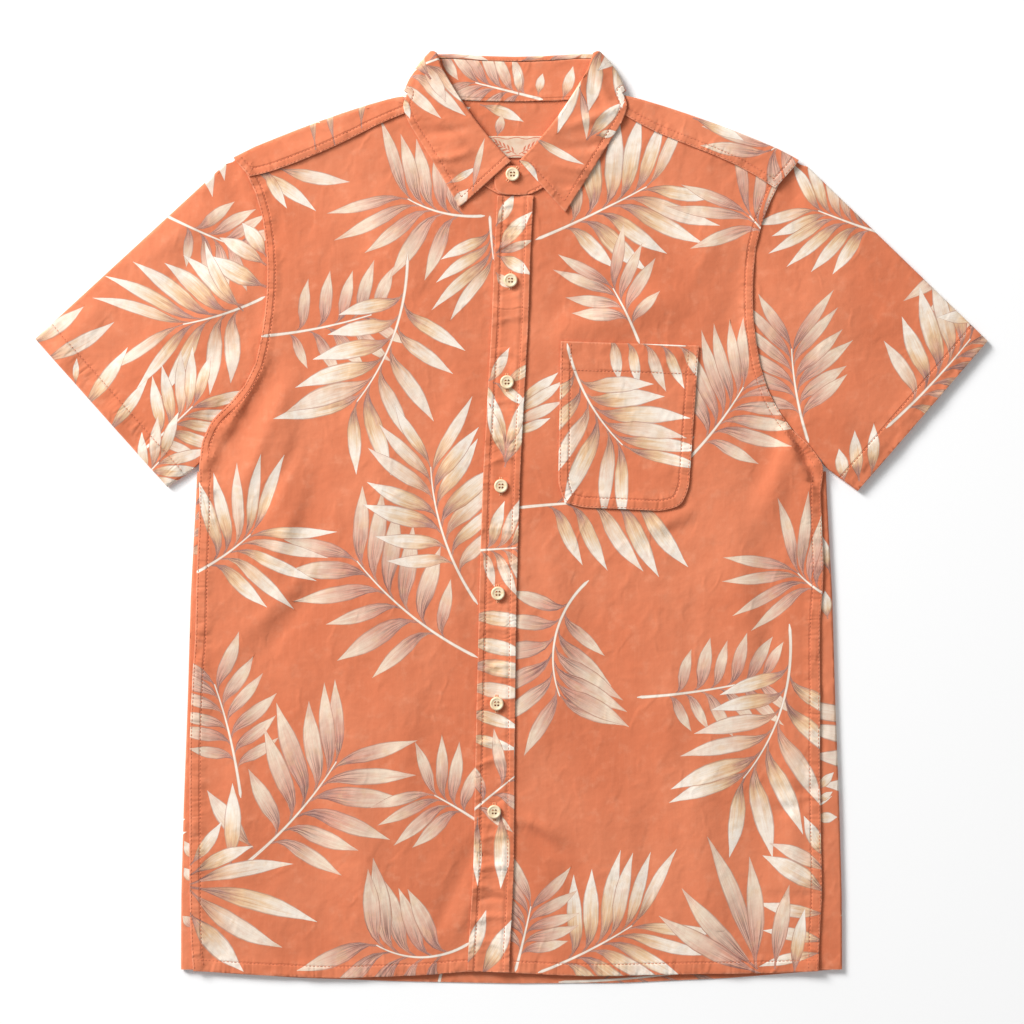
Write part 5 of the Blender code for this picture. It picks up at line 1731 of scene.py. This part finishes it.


# --- Putting the shirt together

BUTTONS = {}
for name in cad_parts:
    if name.startswith("button"):
        low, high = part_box(name)
        BUTTONS[name] = ((low.x + high.x) / (2 * MM), (low.y + high.y) / (2 * MM))
SHEETS = {name: Sheet(name) for name in PIECES}
CLOTHS = {name: Cloth(sheet) for name, sheet in SHEETS.items()}
sewing = random.Random(5)


def placed(piece, node=None):
    """Puts a piece under the root body, and hides the solid that it stands for."""
    if node:
        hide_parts(node)
    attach(piece, "root")
    return piece


for name, cloth in CLOTHS.items():
    cotton = name != LABEL_NODE
    cloth.piece.data.materials.append(COTTON if cotton else LABEL)
    placed(cloth.piece, name)
    stitches = [stitch for seam in cloth.seams for row in seam.rows
                for stitch in row_of_stitches(cloth, seam.inside(row, cloth.trim(row)), sewing)]
    if stitches:
        placed(thread_mesh(name + "_stitching", stitches, THREAD))

for name, middle in BUTTONS.items():
    placed(button_piece(name), name)
    collar = name == "button_collar"
    carrier = CLOTHS["collar_stand" if collar else "placket"]
    x, y = carrier.sheet.pattern_at(*middle)
    edging = buttonhole_stitches(carrier, x, y, collar, sewing)
    placed(thread_mesh(name + "_buttonhole", edging, EDGING))
    placed(thread_mesh(name + "_thread", button_stitches(name, sewing), CREAM_THREAD))

# --- Floor, light and camera

# In metres
FLOOR_SIZE = 60.0
FLOOR_Z = -0.0004
CAMERA_HEIGHT = 2.36
CAMERA_LENS = 100.0
SENSOR = 36.0
AIM = Vector((0.4, 4.6, 0.0)) * MM


def floor():
    shape = bmesh.new()
    bmesh.ops.create_grid(shape, x_segments=1, y_segments=1, size=FLOOR_SIZE / 2)
    piece = object_of("floor", shape)
    shape.free()
    made, _, shader = new_material("floor", 0.9)
    shader.inputs["Base Color"].default_value = (0.97, 0.97, 0.97, 1)
    shader.inputs["Emission Color"].default_value = (1, 1, 1, 1)
    shader.inputs["Emission Strength"].default_value = 0.06
    piece.data.materials.append(made)
    piece.location.z = FLOOR_Z


def soft_light(name, kind, place, size, power):
    """A soft lamp that faces the middle of the shirt; a sun's size is the angle it is seen under."""
    lamp = bpy.data.lights.new(name, kind)
    lamp.energy = power
    if kind == "SUN":
        lamp.angle = size
    else:
        lamp.shape, lamp.size = "DISK", size
    piece = link(bpy.data.objects.new(name, lamp))
    piece.location = place
    piece.rotation_euler = (AIM - Vector(place)).to_track_quat("-Z", "Y").to_euler()


floor()
soft_light("window", "SUN", (-3.0, 2.68, 2.05), math.radians(18), 2.48)
soft_light("fill", "AREA", (-1.4, 1.25, 1.25), 1.4, 34.0)

world = bpy.data.worlds.new("studio")
world.use_nodes = True
background = world.node_tree.nodes["Background"]
background.inputs["Color"].default_value = (1, 1, 1, 1)
background.inputs["Strength"].default_value = 0.34
bpy.context.scene.world = world
bpy.context.scene.view_settings.view_transform = "Standard"

lens = bpy.data.cameras.new("camera")
lens.lens, lens.sensor_width = CAMERA_LENS, SENSOR
camera = link(bpy.data.objects.new("camera", lens))
camera.location = AIM + Vector((0, 0, CAMERA_HEIGHT))
bpy.context.scene.camera = camera
